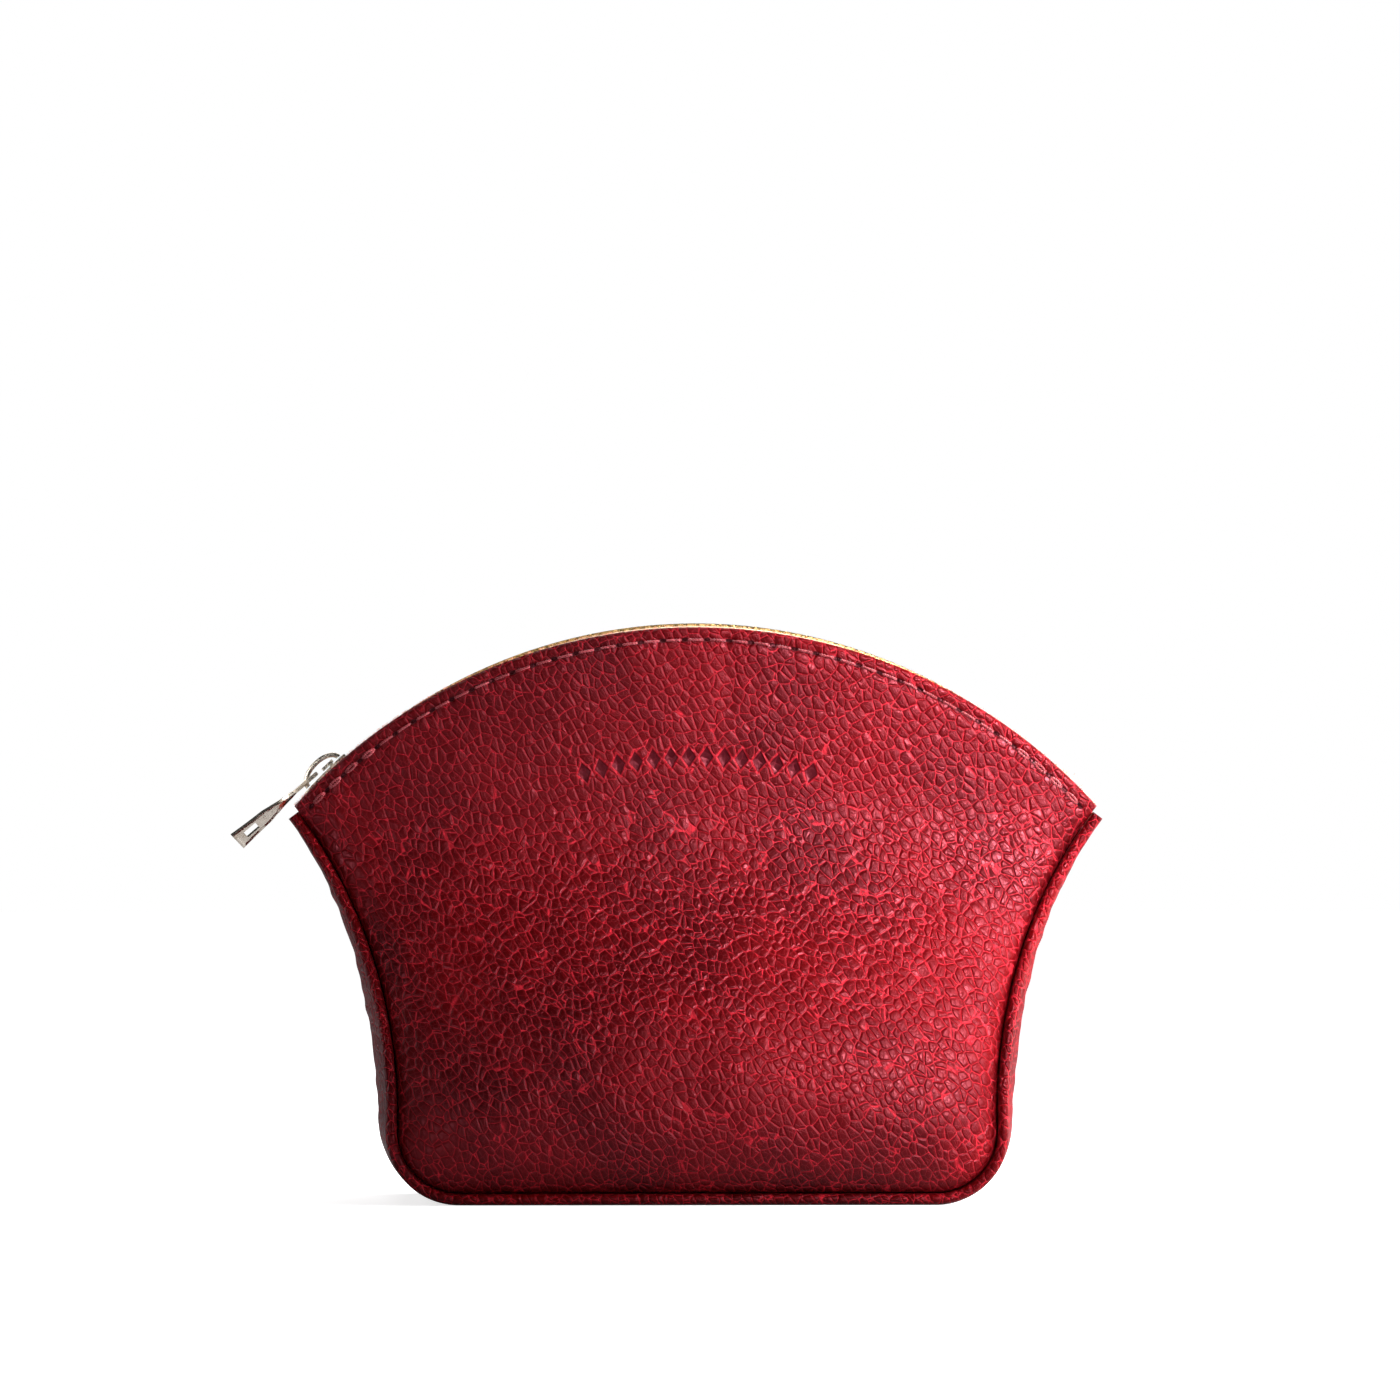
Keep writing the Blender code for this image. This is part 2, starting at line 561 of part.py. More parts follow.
def main():
    clear_scene()
    leather = make_material("red_leather", (0.33, 0.014, 0.022), 0.45)
    tape = make_material("tape", (0.72, 0.52, 0.34), 0.85)
    thread = make_material("thread", (0.42, 0.05, 0.07), 0.7)
    brass = make_material("brass_teeth", (0.80, 0.58, 0.27), 0.3, 1.0)
    plated = make_material("pale_gold", (0.86, 0.76, 0.62), 0.18, 1.0)

    make_gusset(leather)
    chain_axis = add_empty("slider_axis", (0, 0, CHAIN_CENTRE_Z))
    pivot = on_chain(-PULLER_PIVOT_BACK, PLATE_OUTER + PULLER_PIVOT_RISE, 0, -PARK_ANGLE)
    puller_axis = add_empty("puller_axis", pivot, chain_axis)

    for word, side in (("front", -1), ("back", 1)):
        flex_axis = add_empty(f"{word}_flex_axis", (0, side * TOP_HALF_DEPTH, FLEX_Z))
        make_panel(f"{word}_panel", side, leather)
        make_panel_top(f"{word}_panel_top", side, leather, flex_axis)
        make_seam_thread(f"{word}_seam_thread", side, thread)
        for stretch in ("left", "middle", "right"):
            axis = flex_axis if stretch == "middle" else None
            make_tape(f"{word}_tape_{stretch}", side, stretch, tape, axis)
            make_teeth(f"{word}_teeth_{stretch}", side, stretch, brass, axis)
            make_topstitch(f"{word}_topstitch_{stretch}", side, stretch, thread, axis)
        ends = sorted((side * TOOTH_FROM, side * CHAIN_HALF))
        make_stop(f"top_stop_{word}", *ends, -CHAIN_END - STOP_LENGTH / 2 / CHAIN_RADIUS, brass)
    make_stop("bottom_stop", -CHAIN_HALF, CHAIN_HALF, CHAIN_END + STOP_LENGTH / 2 / CHAIN_RADIUS, brass)

    make_slider(plated, chain_axis)
    make_crown(plated, chain_axis)
    make_pawl(plated, chain_axis)
    make_puller(pivot, plated, puller_axis)
    print("slider axis at z", CHAIN_CENTRE_Z, "puller axis at", pivot, "mouth axes at", TOP_HALF_DEPTH, FLEX_Z)


main()
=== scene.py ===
import json
import math
import random

import bmesh
import bpy
from mathutils import Matrix, Vector, noise

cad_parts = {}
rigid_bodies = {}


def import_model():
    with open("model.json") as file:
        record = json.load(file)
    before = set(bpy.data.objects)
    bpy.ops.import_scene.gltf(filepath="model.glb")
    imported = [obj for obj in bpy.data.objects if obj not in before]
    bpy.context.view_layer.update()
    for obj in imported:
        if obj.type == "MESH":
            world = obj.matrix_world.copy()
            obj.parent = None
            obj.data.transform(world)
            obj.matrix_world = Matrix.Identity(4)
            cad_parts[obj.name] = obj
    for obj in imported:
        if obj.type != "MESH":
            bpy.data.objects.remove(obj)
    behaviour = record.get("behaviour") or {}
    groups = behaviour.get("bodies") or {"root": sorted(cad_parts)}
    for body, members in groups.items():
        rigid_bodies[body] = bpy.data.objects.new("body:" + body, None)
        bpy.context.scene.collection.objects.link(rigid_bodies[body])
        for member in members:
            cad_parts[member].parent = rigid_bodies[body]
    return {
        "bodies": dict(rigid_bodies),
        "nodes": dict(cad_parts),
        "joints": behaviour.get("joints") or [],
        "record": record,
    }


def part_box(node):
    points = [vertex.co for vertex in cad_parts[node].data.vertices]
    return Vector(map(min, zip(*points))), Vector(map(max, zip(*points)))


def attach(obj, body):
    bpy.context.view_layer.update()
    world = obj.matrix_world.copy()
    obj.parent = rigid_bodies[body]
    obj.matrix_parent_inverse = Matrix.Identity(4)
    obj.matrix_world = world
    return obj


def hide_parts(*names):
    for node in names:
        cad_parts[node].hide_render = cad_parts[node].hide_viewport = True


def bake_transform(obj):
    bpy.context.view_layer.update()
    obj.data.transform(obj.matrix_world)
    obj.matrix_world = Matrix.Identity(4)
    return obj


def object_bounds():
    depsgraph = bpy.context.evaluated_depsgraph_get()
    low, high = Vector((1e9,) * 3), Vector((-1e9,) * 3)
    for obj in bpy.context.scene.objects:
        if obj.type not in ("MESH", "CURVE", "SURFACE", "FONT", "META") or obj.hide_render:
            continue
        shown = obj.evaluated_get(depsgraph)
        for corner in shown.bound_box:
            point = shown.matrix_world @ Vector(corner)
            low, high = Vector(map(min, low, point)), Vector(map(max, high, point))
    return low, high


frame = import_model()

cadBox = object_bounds()
joints = {joint["name"]: joint for joint in frame["joints"]}
print("frame loaded:", len(frame["nodes"]), "nodes")

# the pouch's own sizes, in metres
panelLow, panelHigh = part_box("front_panel")
topLow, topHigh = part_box("front_panel_top")

pouch = {
    "topRadius": 0.1345,  # of the arched top edge
    "waistHalf": 0.074,
    "waistZ": 0.022,
    "cornerRadius": 0.015,
    "baseHalfDepth": 0.033,
    "shoulderRise": 0.0057,
    "belly": 0.005,
    "leather": 0.0017,
    "lip": 0.0045,  # seam allowance turned inwards
    "gap": 0.0003,
    "stitchMargin": 0.0031,
    "parkInset": 0.0088,  # from the panel's corner in to the parked slider
}

topRadius = pouch["topRadius"]
leather = pouch["leather"]
gap = pouch["gap"]
hornHalf = panelHigh.x
seamZ = panelLow.z
apexZ = topHigh.z
topDepth = -topLow.y
archCentreZ = apexZ - topRadius
hornZ = archCentreZ + math.sqrt(topRadius**2 - hornHalf**2)
shoulderZ = hornZ + pouch["shoulderRise"]
sideRise = hornZ - pouch["waistZ"]
sideFlare = hornHalf - pouch["waistHalf"]
sideRadius = (sideFlare**2 + sideRise**2) / (2 * sideFlare)
hornTurn = math.asin(sideRise / sideRadius)
flatHalf = pouch["waistHalf"] - pouch["cornerRadius"]
cornerRun = pouch["cornerRadius"] * math.pi / 2
uprightRun = pouch["waistZ"] - seamZ - pouch["cornerRadius"]
seamReach = flatHalf + cornerRun + uprightRun + sideRadius * hornTurn

chainCentreZ = joints["slider_travel"]["pos_m"][2]
chainRadius = apexZ - chainCentreZ
parkAngle = math.asin((hornHalf - pouch["parkInset"]) / chainRadius)
stitchRadius = topRadius - pouch["stitchMargin"]
pastEnd = 0.01  # radians that the sunk track runs on past the last stitch


def clamp(value, low=0.0, high=1.0):
    return max(low, min(high, value))


def smooth(low, high, value):
    share = clamp((value - low) / (high - low))
    return share * share * (3 - 2 * share)


def seamAt(run):
    # place and inward direction on the seam, run metres along it from the middle of the bottom
    side = 1 if run >= 0 else -1
    left = abs(run)
    if left <= flatHalf:
        return Vector((run, 0, seamZ)), Vector((0, 0, 1))
    left -= flatHalf
    if left <= cornerRun:
        turn = left / pouch["cornerRadius"]
        inward = Vector((-side * math.sin(turn), 0, math.cos(turn)))
        centre = Vector((side * flatHalf, 0, seamZ + pouch["cornerRadius"]))
        return centre - inward * pouch["cornerRadius"], inward
    left -= cornerRun
    if left <= uprightRun:
        z = pouch["waistZ"] - uprightRun + left
        return Vector((side * pouch["waistHalf"], 0, z)), Vector((-side, 0, 0))
    turn = (left - uprightRun) / sideRadius
    x = pouch["waistHalf"] + sideRadius * (1 - math.cos(turn))
    inward = Vector((-side * math.cos(turn), 0, math.sin(turn)))
    return Vector((side * x, 0, pouch["waistZ"] + sideRadius * math.sin(turn))), inward


def seamDepth(z):
    share = clamp((z - seamZ) / (shoulderZ - seamZ))
    return topDepth + (pouch["baseHalfDepth"] - topDepth) * math.cos(math.pi / 2 * share) ** 2


def bellyShape(z):
    share = clamp((z - seamZ) / (shoulderZ - seamZ))
    return 27 / 4 * share * (1 - share) ** 2


def seamDistance(x, z):
    # how far a point on a panel lies from the sewn edge
    x = abs(x)
    corner = pouch["cornerRadius"]
    if x > flatHalf and z < seamZ + corner:
        return corner - math.hypot(x - flatHalf, z - seamZ - corner)
    rise = clamp((z - pouch["waistZ"]) / sideRadius, 0, 0.99)
    tilt = math.sqrt(1 - rise * rise)
    sideways = (pouch["waistHalf"] + sideRadius * (1 - tilt) - x) * tilt
    return max(min(z - seamZ, sideways), 0) if z < hornZ else max(sideways, 0)


def onChain(along, height, y, middle):
    angle = middle + along / chainRadius
    radius = chainRadius + height
    return Vector((radius * math.sin(angle), y, chainCentreZ + radius * math.cos(angle)))


# making pieces


def addSheet(bm, columns, rows, placeAt):
    # a grid whose every point is then laid where placeAt(across, along) says, both from 0 to 1
    uv = bm.loops.layers.uv.verify()
    grid = bmesh.ops.create_grid(bm, x_segments=columns, y_segments=rows, size=0.5)["verts"]
    faces = {face for vert in grid for face in vert.link_faces}
    for face in faces:
        for loop in face.loops:
            loop[uv].uv = (loop.vert.co.x + 0.5, loop.vert.co.y + 0.5)
    for vert in grid:
        column, row = round((vert.co.x + 0.5) * columns), round((vert.co.y + 0.5) * rows)
        vert.co = placeAt(column / columns, row / rows)
    return grid


def sew(bm, distance=1e-6):
    bmesh.ops.remove_doubles(bm, verts=bm.verts, dist=distance)


def closeUp(bm, capMaterial=0):
    holes = bmesh.ops.holes_fill(bm, edges=[edge for edge in bm.edges if edge.is_boundary])["faces"]
    for face in holes:
        face.material_index = capMaterial
    bmesh.ops.triangulate(bm, faces=holes)


def turnOutwards(bm):
    bmesh.ops.recalc_face_normals(bm, faces=bm.faces)
    if bm.calc_volume(signed=True) < 0:
        bmesh.ops.reverse_faces(bm, faces=bm.faces)


def addPiece(name, bm, materials, sharp=40):
    mesh = bpy.data.meshes.new(name)
    bm.to_mesh(mesh)
    bm.free()
    mesh.shade_smooth()
    mesh.set_sharp_from_angle(angle=math.radians(sharp))
    for material in materials:
        mesh.materials.append(material)
    piece = bpy.data.objects.new(name, mesh)
    bpy.context.scene.collection.objects.link(piece)
    return piece


def applyModifiers(piece):
    graph = bpy.context.evaluated_depsgraph_get()
    mesh = bpy.data.meshes.new_from_object(piece.evaluated_get(graph))
    piece.modifiers.clear()
    piece.data = mesh
    return piece


def bendAtMouth(piece):
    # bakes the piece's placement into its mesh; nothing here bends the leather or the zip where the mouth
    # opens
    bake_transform(piece)


# node helpers


def addNode(tree, kind, inputs=None, **settings):
    node = tree.nodes.new("ShaderNode" + kind)
    for key, value in settings.items():
        setattr(node, key, value)
    for key, value in (inputs or {}).items():
        if isinstance(value, bpy.types.NodeSocket):
            tree.links.new(value, node.inputs[key])
        else:
            node.inputs[key].default_value = value
    return node


def calc(tree, operation, *values):
    return addNode(tree, "Math", dict(enumerate(values)), operation=operation).outputs[0]


def calcVector(tree, operation, inputs):
    return addNode(tree, "VectorMath", inputs, operation=operation).outputs[0]


def addNoise(tree, place, scale, detail):
    return addNode(tree, "TexNoise", {"Vector": place, "Scale": scale, "Detail": detail}).outputs


def addBump(tree, shader, strength, distance, height):
    bump = addNode(tree, "Bump", {"Strength": strength, "Distance": distance, "Height": height})
    tree.links.new(bump.outputs[0], shader.inputs["Normal"])


def spread(tree, value, low, high, toLow=0.0, toHigh=1.0):
    inputs = {"Value": value, "From Min": low, "From Max": high, "To Min": toLow, "To Max": toHigh}
    return addNode(tree, "MapRange", inputs, interpolation_type="SMOOTHSTEP").outputs["Result"]


def blendColor(tree, share, first, second, mode="MIX"):
    node = addNode(tree, "Mix", data_type="RGBA", blend_type=mode)
    for index, value in ((0, share), (6, first), (7, second)):
        if isinstance(value, bpy.types.NodeSocket):
            tree.links.new(value, node.inputs[index])
        else:
            node.inputs[index].default_value = value if index == 0 else (*value, 1)
    return node.outputs[2]


def startGroup(name, inputs, outputs):
    tree = bpy.data.node_groups.new(name, "ShaderNodeTree")
    for label, kind, value in inputs:
        socket = tree.interface.new_socket(label, in_out="INPUT", socket_type="NodeSocket" + kind)
        if value is not None:
            socket.default_value = value
    for label, kind in outputs:
        tree.interface.new_socket(label, in_out="OUTPUT", socket_type="NodeSocket" + kind)
    return tree, tree.nodes.new("NodeGroupInput").outputs, tree.nodes.new("NodeGroupOutput").inputs


def useGroup(tree, group, inputs):
    return addNode(tree, "Group", inputs, node_tree=group).outputs


def startMaterial(name, **values):
    material = bpy.data.materials.new(name)
    material.use_nodes = True
    tree = material.node_tree
    shader = tree.nodes["Principled BSDF"]
    for key, value in values.items():
        shader.inputs[key.replace("_", " ")].default_value = value
    return material, tree, shader


# shared effects


grainShape = {
    "even": 0.78,  # 1 scatters the cells at random, 0 sets them in rows
    "tinyPerCell": 1.9,
    "tinyEven": 0.9,
    "driftScale": 0.45,
    "shoulder": 0.20,  # how far in from its edge a cell is still rising
    "tinyShoulder": 0.10,
    "line": (0.050, 0.004),
    "tinyLine": (0.040, 0.002),
    "tinyShade": 0.30,
    "flatRise": 0.62,
    "tinyRise": 0.16,
    "domeRise": 0.22,
    "poreRise": 0.06,
}


def makePebbleGrain():
    look = grainShape
    tree, given, result = startGroup(
        "pebbleGrain",
        [("Vector", "Vector", None), ("Cell", "Float", 0.0033), ("Wander", "Float", 0.5)],
        [("Height", "Float"), ("Crease", "Float"), ("Fine", "Float")],
    )
    perCell = calc(tree, "DIVIDE", 1.0, given["Cell"])
    cells = calcVector(tree, "SCALE", {0: given["Vector"], "Scale": perCell})
    drift = addNoise(tree, cells, look["driftScale"], 0.0)
    centred = {0: drift["Color"], 1: (0.5, 0.5, 0.5)}
    drift = calcVector(tree, "SUBTRACT", centred)
    drift = calcVector(tree, "SCALE", {0: drift, "Scale": given["Wander"]})
    place = calcVector(tree, "ADD", {0: cells, 1: drift})
    large = {"Vector": place, "Scale": 1.0, "Randomness": look["even"]}
    edge = addNode(tree, "TexVoronoi", large, feature="DISTANCE_TO_EDGE").outputs["Distance"]
    dome = addNode(tree, "TexVoronoi", large, feature="F1").outputs["Distance"]
    tiny = {"Vector": place, "Scale": look["tinyPerCell"], "Randomness": look["tinyEven"]}
    small = addNode(tree, "TexVoronoi", tiny, feature="DISTANCE_TO_EDGE").outputs["Distance"]
    flat = spread(tree, edge, 0.0, look["shoulder"])
    faint = spread(tree, small, 0.0, look["tinyShoulder"])
    pores = addNoise(tree, cells, 9.0, 3.0)["Fac"]
    height = calc(tree, "MULTIPLY", faint, look["tinyRise"])
    height = calc(tree, "MULTIPLY_ADD", flat, look["flatRise"], height)
    height = calc(tree, "MULTIPLY_ADD", spread(tree, dome, 0.7, 0.0), look["domeRise"], height)
    height = calc(tree, "MULTIPLY_ADD", pores, look["poreRise"], height)
    line = spread(tree, edge, *look["line"])
    fineLine = calc(tree, "MULTIPLY", spread(tree, small, *look["tinyLine"]), look["tinyShade"])
    tree.links.new(height, result["Height"])
    tree.links.new(line, result["Crease"])
    tree.links.new(fineLine, result["Fine"])
    return tree


def makeBlotches():
    tree, given, result = startGroup(
        "dyeBlotches",
        [("Vector", "Vector", None), ("Size", "Float", 0.03)],
        [("Blotch", "Float"), ("Fleck", "Float")],
    )
    perSize = calc(tree, "DIVIDE", 1.0, given["Size"])
    place = calcVector(tree, "SCALE", {0: given["Vector"], "Scale": perSize})
    blotch = addNoise(tree, place, 1.0, 3.0)["Fac"]
    fleck = addNoise(tree, place, 40.0, 2.0)["Fac"]
    tree.links.new(spread(tree, blotch, 0.3, 0.7), result["Blotch"])
    tree.links.new(spread(tree, fleck, 0.35, 0.75), result["Fleck"])
    return tree


def makeStitchHoles():
    # slots where the needle went in, which the leather colours near black as painted shade, in polar
    # coordinates about the arched edge's centre
    tree, given, result = startGroup(
        "stitchHoles",
        [("Vector", "Vector", None), ("Radius", "Float", stitchRadius), ("Centre", "Float", archCentreZ),
         ("Pitch", "Float", 0.0055), ("Length", "Float", 0.0011), ("Width", "Float", 0.0006),
         ("End", "Float", 0.8)],
        [("Hole", "Float"), ("Track", "Float")],
    )
    axes = addNode(tree, "SeparateXYZ", {0: given["Vector"]}).outputs
    up = calc(tree, "SUBTRACT", axes["Z"], given["Centre"])
    squares = calc(tree, "MULTIPLY_ADD", up, up, calc(tree, "MULTIPLY", axes["X"], axes["X"]))
    away = calc(tree, "ABSOLUTE", calc(tree, "SUBTRACT", calc(tree, "SQRT", squares), given["Radius"]))
    angle = calc(tree, "ARCTAN2", axes["X"], up)
    turns = calc(tree, "DIVIDE", calc(tree, "MULTIPLY", angle, given["Radius"]), given["Pitch"])
    offset = calc(tree, "ABSOLUTE", calc(tree, "SUBTRACT", calc(tree, "FRACT", turns), 0.5))
    along = calc(tree, "MULTIPLY", offset, given["Pitch"])
    near = calc(tree, "LESS_THAN", calc(tree, "ABSOLUTE", angle), given["End"])
    long = calc(tree, "DIVIDE", along, given["Length"])
    wide = calc(tree, "DIVIDE", away, given["Width"])
    reach = calc(tree, "SQRT", calc(tree, "MULTIPLY_ADD", long, long, calc(tree, "MULTIPLY", wide, wide)))
    tree.links.new(calc(tree, "MULTIPLY", spread(tree, reach, 1.0, 0.55), near), result["Hole"])
    tree.links.new(calc(tree, "MULTIPLY", spread(tree, away, 0.0011, 0.0002), near), result["Track"])
    return tree


def makeLozenges():
    # an arched row of plain pressed lozenges
    tree, given, result = startGroup(
        "pressedLozenges",
        [("Vector", "Vector", None), ("Radius", "Float", 0.102), ("Centre", "Float", archCentreZ),
         ("Pitch", "Float", 0.0044), ("Half Width", "Float", 0.0017), ("Half Height", "Float", 0.0025),
         ("End", "Float", 0.3), ("Middle", "Float", 0.0)],
        [("Inside", "Float"), ("Rim", "Float")],
    )
    axes = addNode(tree, "SeparateXYZ", {0: given["Vector"]}).outputs
    up = calc(tree, "SUBTRACT", axes["Z"], given["Centre"])
    across = calc(tree, "SUBTRACT", axes["X"], given["Middle"])
    squares = calc(tree, "MULTIPLY_ADD", up, up, calc(tree, "MULTIPLY", across, across))
    away = calc(tree, "ABSOLUTE", calc(tree, "SUBTRACT", calc(tree, "SQRT", squares), given["Radius"]))
    angle = calc(tree, "ARCTAN2", across, up)
    turns = calc(tree, "DIVIDE", calc(tree, "MULTIPLY", angle, given["Radius"]), given["Pitch"])
    offset = calc(tree, "ABSOLUTE", calc(tree, "SUBTRACT", calc(tree, "FRACT", turns), 0.5))
    along = calc(tree, "MULTIPLY", offset, given["Pitch"])
    near = calc(tree, "LESS_THAN", calc(tree, "ABSOLUTE", angle), given["End"])
    reach = calc(tree, "ADD", calc(tree, "DIVIDE", along, given["Half Width"]),
                 calc(tree, "DIVIDE", away, given["Half Height"]))
    inside = calc(tree, "MULTIPLY", spread(tree, reach, 1.0, 0.82), near)
    rim = calc(tree, "MULTIPLY", spread(tree, reach, 1.35, 1.05), near)
    tree.links.new(inside, result["Inside"])
    tree.links.new(calc(tree, "SUBTRACT", rim, inside), result["Rim"])
    return tree


def makeTwill():
    tree, given, result = startGroup(
        "twillWeave",
        [("Vector", "Vector", None), ("Along", "Float", 400.0), ("Across", "Float", 20.0)],
        [("Height", "Float"), ("Shade", "Float")],
    )
    axes = addNode(tree, "SeparateXYZ", {0: given["Vector"]}).outputs
    run = calc(tree, "MULTIPLY", axes["Y"], given["Along"])
    over = calc(tree, "MULTIPLY", axes["X"], given["Across"])
    rib = calc(tree, "PINGPONG", calc(tree, "ADD", run, over), 0.5)
    yarn = calc(tree, "PINGPONG", over, 0.5)
    height = calc(tree, "MULTIPLY_ADD", spread(tree, rib, 0.0, 0.5), 0.6, calc(tree, "MULTIPLY", yarn, 0.8))
    uneven = addNoise(tree, given["Vector"], 60.0, 2.0)
    tree.links.new(height, result["Height"])
    # Shade paints the weave's grooves darker than its ribs as painted shade, broken up by random uneven tone
    tree.links.new(calc(tree, "MULTIPLY", height, uneven["Fac"]), result["Shade"])
    return tree


def makeRubbedMetal():
    tree, given, result = startGroup(
        "rubbedMetal",
        [("Vector", "Vector", None), ("Scratch", "Float", 900.0)],
        [("Scratch", "Float"), ("Tarnish", "Float")],
    )
    brushed = {0: given["Vector"], 1: (1.0, 0.12, 1.0)}
    squeezed = calcVector(tree, "MULTIPLY", brushed)
    fine = addNoise(tree, squeezed, given["Scratch"], 4.0)
    broad = addNoise(tree, given["Vector"], 260.0, 3.0)
    tree.links.new(spread(tree, fine["Fac"], 0.35, 0.7), result["Scratch"])
    tree.links.new(spread(tree, broad["Fac"], 0.45, 0.72), result["Tarnish"])
    return tree


pebbleGrain = makePebbleGrain()
dyeBlotches = makeBlotches()
stitchHoles = makeStitchHoles()
pressedLozenges = makeLozenges()
twillWeave = makeTwill()
rubbedMetal = makeRubbedMetal()

# finishes

leatherLook = {
    "cell": 0.0025,
    "wander": 0.60,
    "stretch": (0.82, 1.0, 1.18),  # of the cells, along and across the hide's grain
    "grainTurn": 32,  # degrees the grain runs away from upright
    "grainDepth": 0.00028,
    "deep": (0.028, 0.0001, 0.0003),
    "bright": (0.082, 0.0003, 0.0008),
    "creaseColor": (0.66, 0.020, 0.036),
    "pressed": (0.030, 0.001, 0.003),
    # near black painted shade inside the needle holes
    "hole": (0.006, 0.001, 0.001),
    "tint": (1.0, 0.20, 0.26, 1),  # of the highlights
    "rough": 0.31,
    "fleckRough": 0.06,
    "creaseRough": 0.26,
    "creaseShade": (0.45, 0.30),  # how far flecks strengthen the creases, and their least strength
    "blotch": 0.035,
    "pressedShade": 0.86,
    "rimShade": 0.35,
    "pressedCalm": 0.8,  # of the grain that pressing flattens
    "pressedDrop": -1.3,
    "trackShade": 0.35,
    "holeDrop": -2.5,
}

motif = {
    "radius": 0.1022,
    "pitch": 0.0044,
    "halfWidth": 0.0019,
    "halfHeight": 0.0029,
    "count": 14,
    "middle": 0.0004,
}

topstitch = {
    "pitch": 0.0055,
    "share": 0.76,  # of the pitch that the thread shows for
    "ply": 0.00021,
    "offset": 0.00017,  # of each ply from the thread's middle
    "twist": 0.0013,
    "end": math.atan2(hornHalf, hornZ - archCentreZ) - pouch["stitchMargin"] / stitchRadius,
    "rise": 0.00062,
    "sunk": 0.00030,
    "doubled": 4,  # stitches sewn twice at each end
    "sway": 0.00042,
    "holeLength": 0.0011,
    "holeWidth": 0.00055,
}


def makeLeather(name, holes=False, pressed=False, shift=(0, 0, 0), shine=0.6):
    look = leatherLook
    material, tree, shader = startMaterial(name, Roughness=0.40, Specular_IOR_Level=shine)
    shader.inputs["Specular Tint"].default_value = look["tint"]
    place = addNode(tree, "TexCoord").outputs["Object"]
    turn = (0, math.radians(look["grainTurn"]), 0)
    moved = addNode(tree, "Mapping", {"Vector": place, "Location": shift, "Rotation": turn}).outputs[0]
    moved = calcVector(tree, "DIVIDE", {0: moved, 1: look["stretch"]})
    grain = useGroup(tree, pebbleGrain, {"Vector": moved, "Cell": look["cell"], "Wander": look["wander"]})
    dye = useGroup(tree, dyeBlotches, {"Vector": moved, "Size": look["blotch"]})
    color = blendColor(tree, dye["Blotch"], look["deep"], look["bright"])
    crease = calc(tree, "MAXIMUM", grain["Crease"], grain["Fine"])
    faded = calc(tree, "MULTIPLY", crease, calc(tree, "MULTIPLY_ADD", dye["Fleck"], *look["creaseShade"]))
    color = blendColor(tree, faded, color, look["creaseColor"])
    rough = calc(tree, "MULTIPLY_ADD", dye["Fleck"], look["fleckRough"], look["rough"])
    rough = calc(tree, "MULTIPLY_ADD", crease, look["creaseRough"], rough)
    height = grain["Height"]
    if pressed:
        span = motif["pitch"] * motif["count"] / 2 / motif["radius"]
        stamp = useGroup(tree, pressedLozenges, {
            "Vector": place, "Radius": motif["radius"], "Centre": archCentreZ, "Pitch": motif["pitch"],
            "Half Width": motif["halfWidth"], "Half Height": motif["halfHeight"], "End": span,
            "Middle": motif["middle"]})
        inside = calc(tree, "MULTIPLY", stamp["Inside"], look["pressedShade"])
        color = blendColor(tree, inside, color, look["pressed"])
        rim = calc(tree, "MULTIPLY", stamp["Rim"], look["rimShade"])
        color = blendColor(tree, rim, color, look["creaseColor"])
        calm = calc(tree, "SUBTRACT", 1.0, calc(tree, "MULTIPLY", stamp["Inside"], look["pressedCalm"]))
        height = calc(tree, "MULTIPLY", height, calm)
        height = calc(tree, "MULTIPLY_ADD", stamp["Inside"], look["pressedDrop"], height)
    if holes:
        marks = useGroup(tree, stitchHoles, {
            "Vector": place, "Radius": stitchRadius, "Centre": archCentreZ, "Pitch": topstitch["pitch"],
            "Length": topstitch["holeLength"], "Width": topstitch["holeWidth"],
            "End": topstitch["end"] + pastEnd})
        track = calc(tree, "MULTIPLY", marks["Track"], look["trackShade"])
        color = blendColor(tree, track, color, look["deep"])
        # painted shade: the needle holes are coloured near black
        color = blendColor(tree, marks["Hole"], color, look["hole"])
        height = calc(tree, "MULTIPLY_ADD", marks["Hole"], look["holeDrop"], height)
    tree.links.new(color, shader.inputs["Base Color"])
    tree.links.new(rough, shader.inputs["Roughness"])
    addBump(tree, shader, 1.0, look["grainDepth"], height)
    return material


def makeFlesh(name, color, fibre, depth):
    # the fibrous side or the cut edge of the hide
    material, tree, shader = startMaterial(name, Roughness=0.9, Specular_IOR_Level=0.2)
    place = addNode(tree, "TexCoord").outputs["Object"]
    nap = addNoise(tree, place, 2600.0, 4.0)["Fac"]
    clump = addNoise(tree, place, 320.0, 3.0)["Fac"]
    tone = calc(tree, "MULTIPLY", spread(tree, nap, 0.3, 0.7), spread(tree, clump, 0.2, 0.8))
    tree.links.new(blendColor(tree, tone, color, fibre), shader.inputs["Base Color"])
    both = calc(tree, "ADD", nap, clump)
    addBump(tree, shader, 0.8, depth, both)
    return material


def makeTapeCloth(name):
    material, tree, shader = startMaterial(name, Roughness=0.9, Specular_IOR_Level=0.25)
    shader.inputs["Sheen Weight"].default_value = 0.3
    place = addNode(tree, "TexCoord").outputs["UV"]
    weave = useGroup(tree, twillWeave, {"Vector": place, "Along": 430.0, "Across": 52.0})
    # painted shade: the cloth is coloured darker in the weave's grooves and lighter on its ribs, with random
    # uneven tone
    color = blendColor(tree, weave["Shade"], (0.46, 0.30, 0.17), (0.86, 0.66, 0.45))
    tree.links.new(color, shader.inputs["Base Color"])
    addBump(tree, shader, 0.7, 0.00012, weave["Height"])
    return material


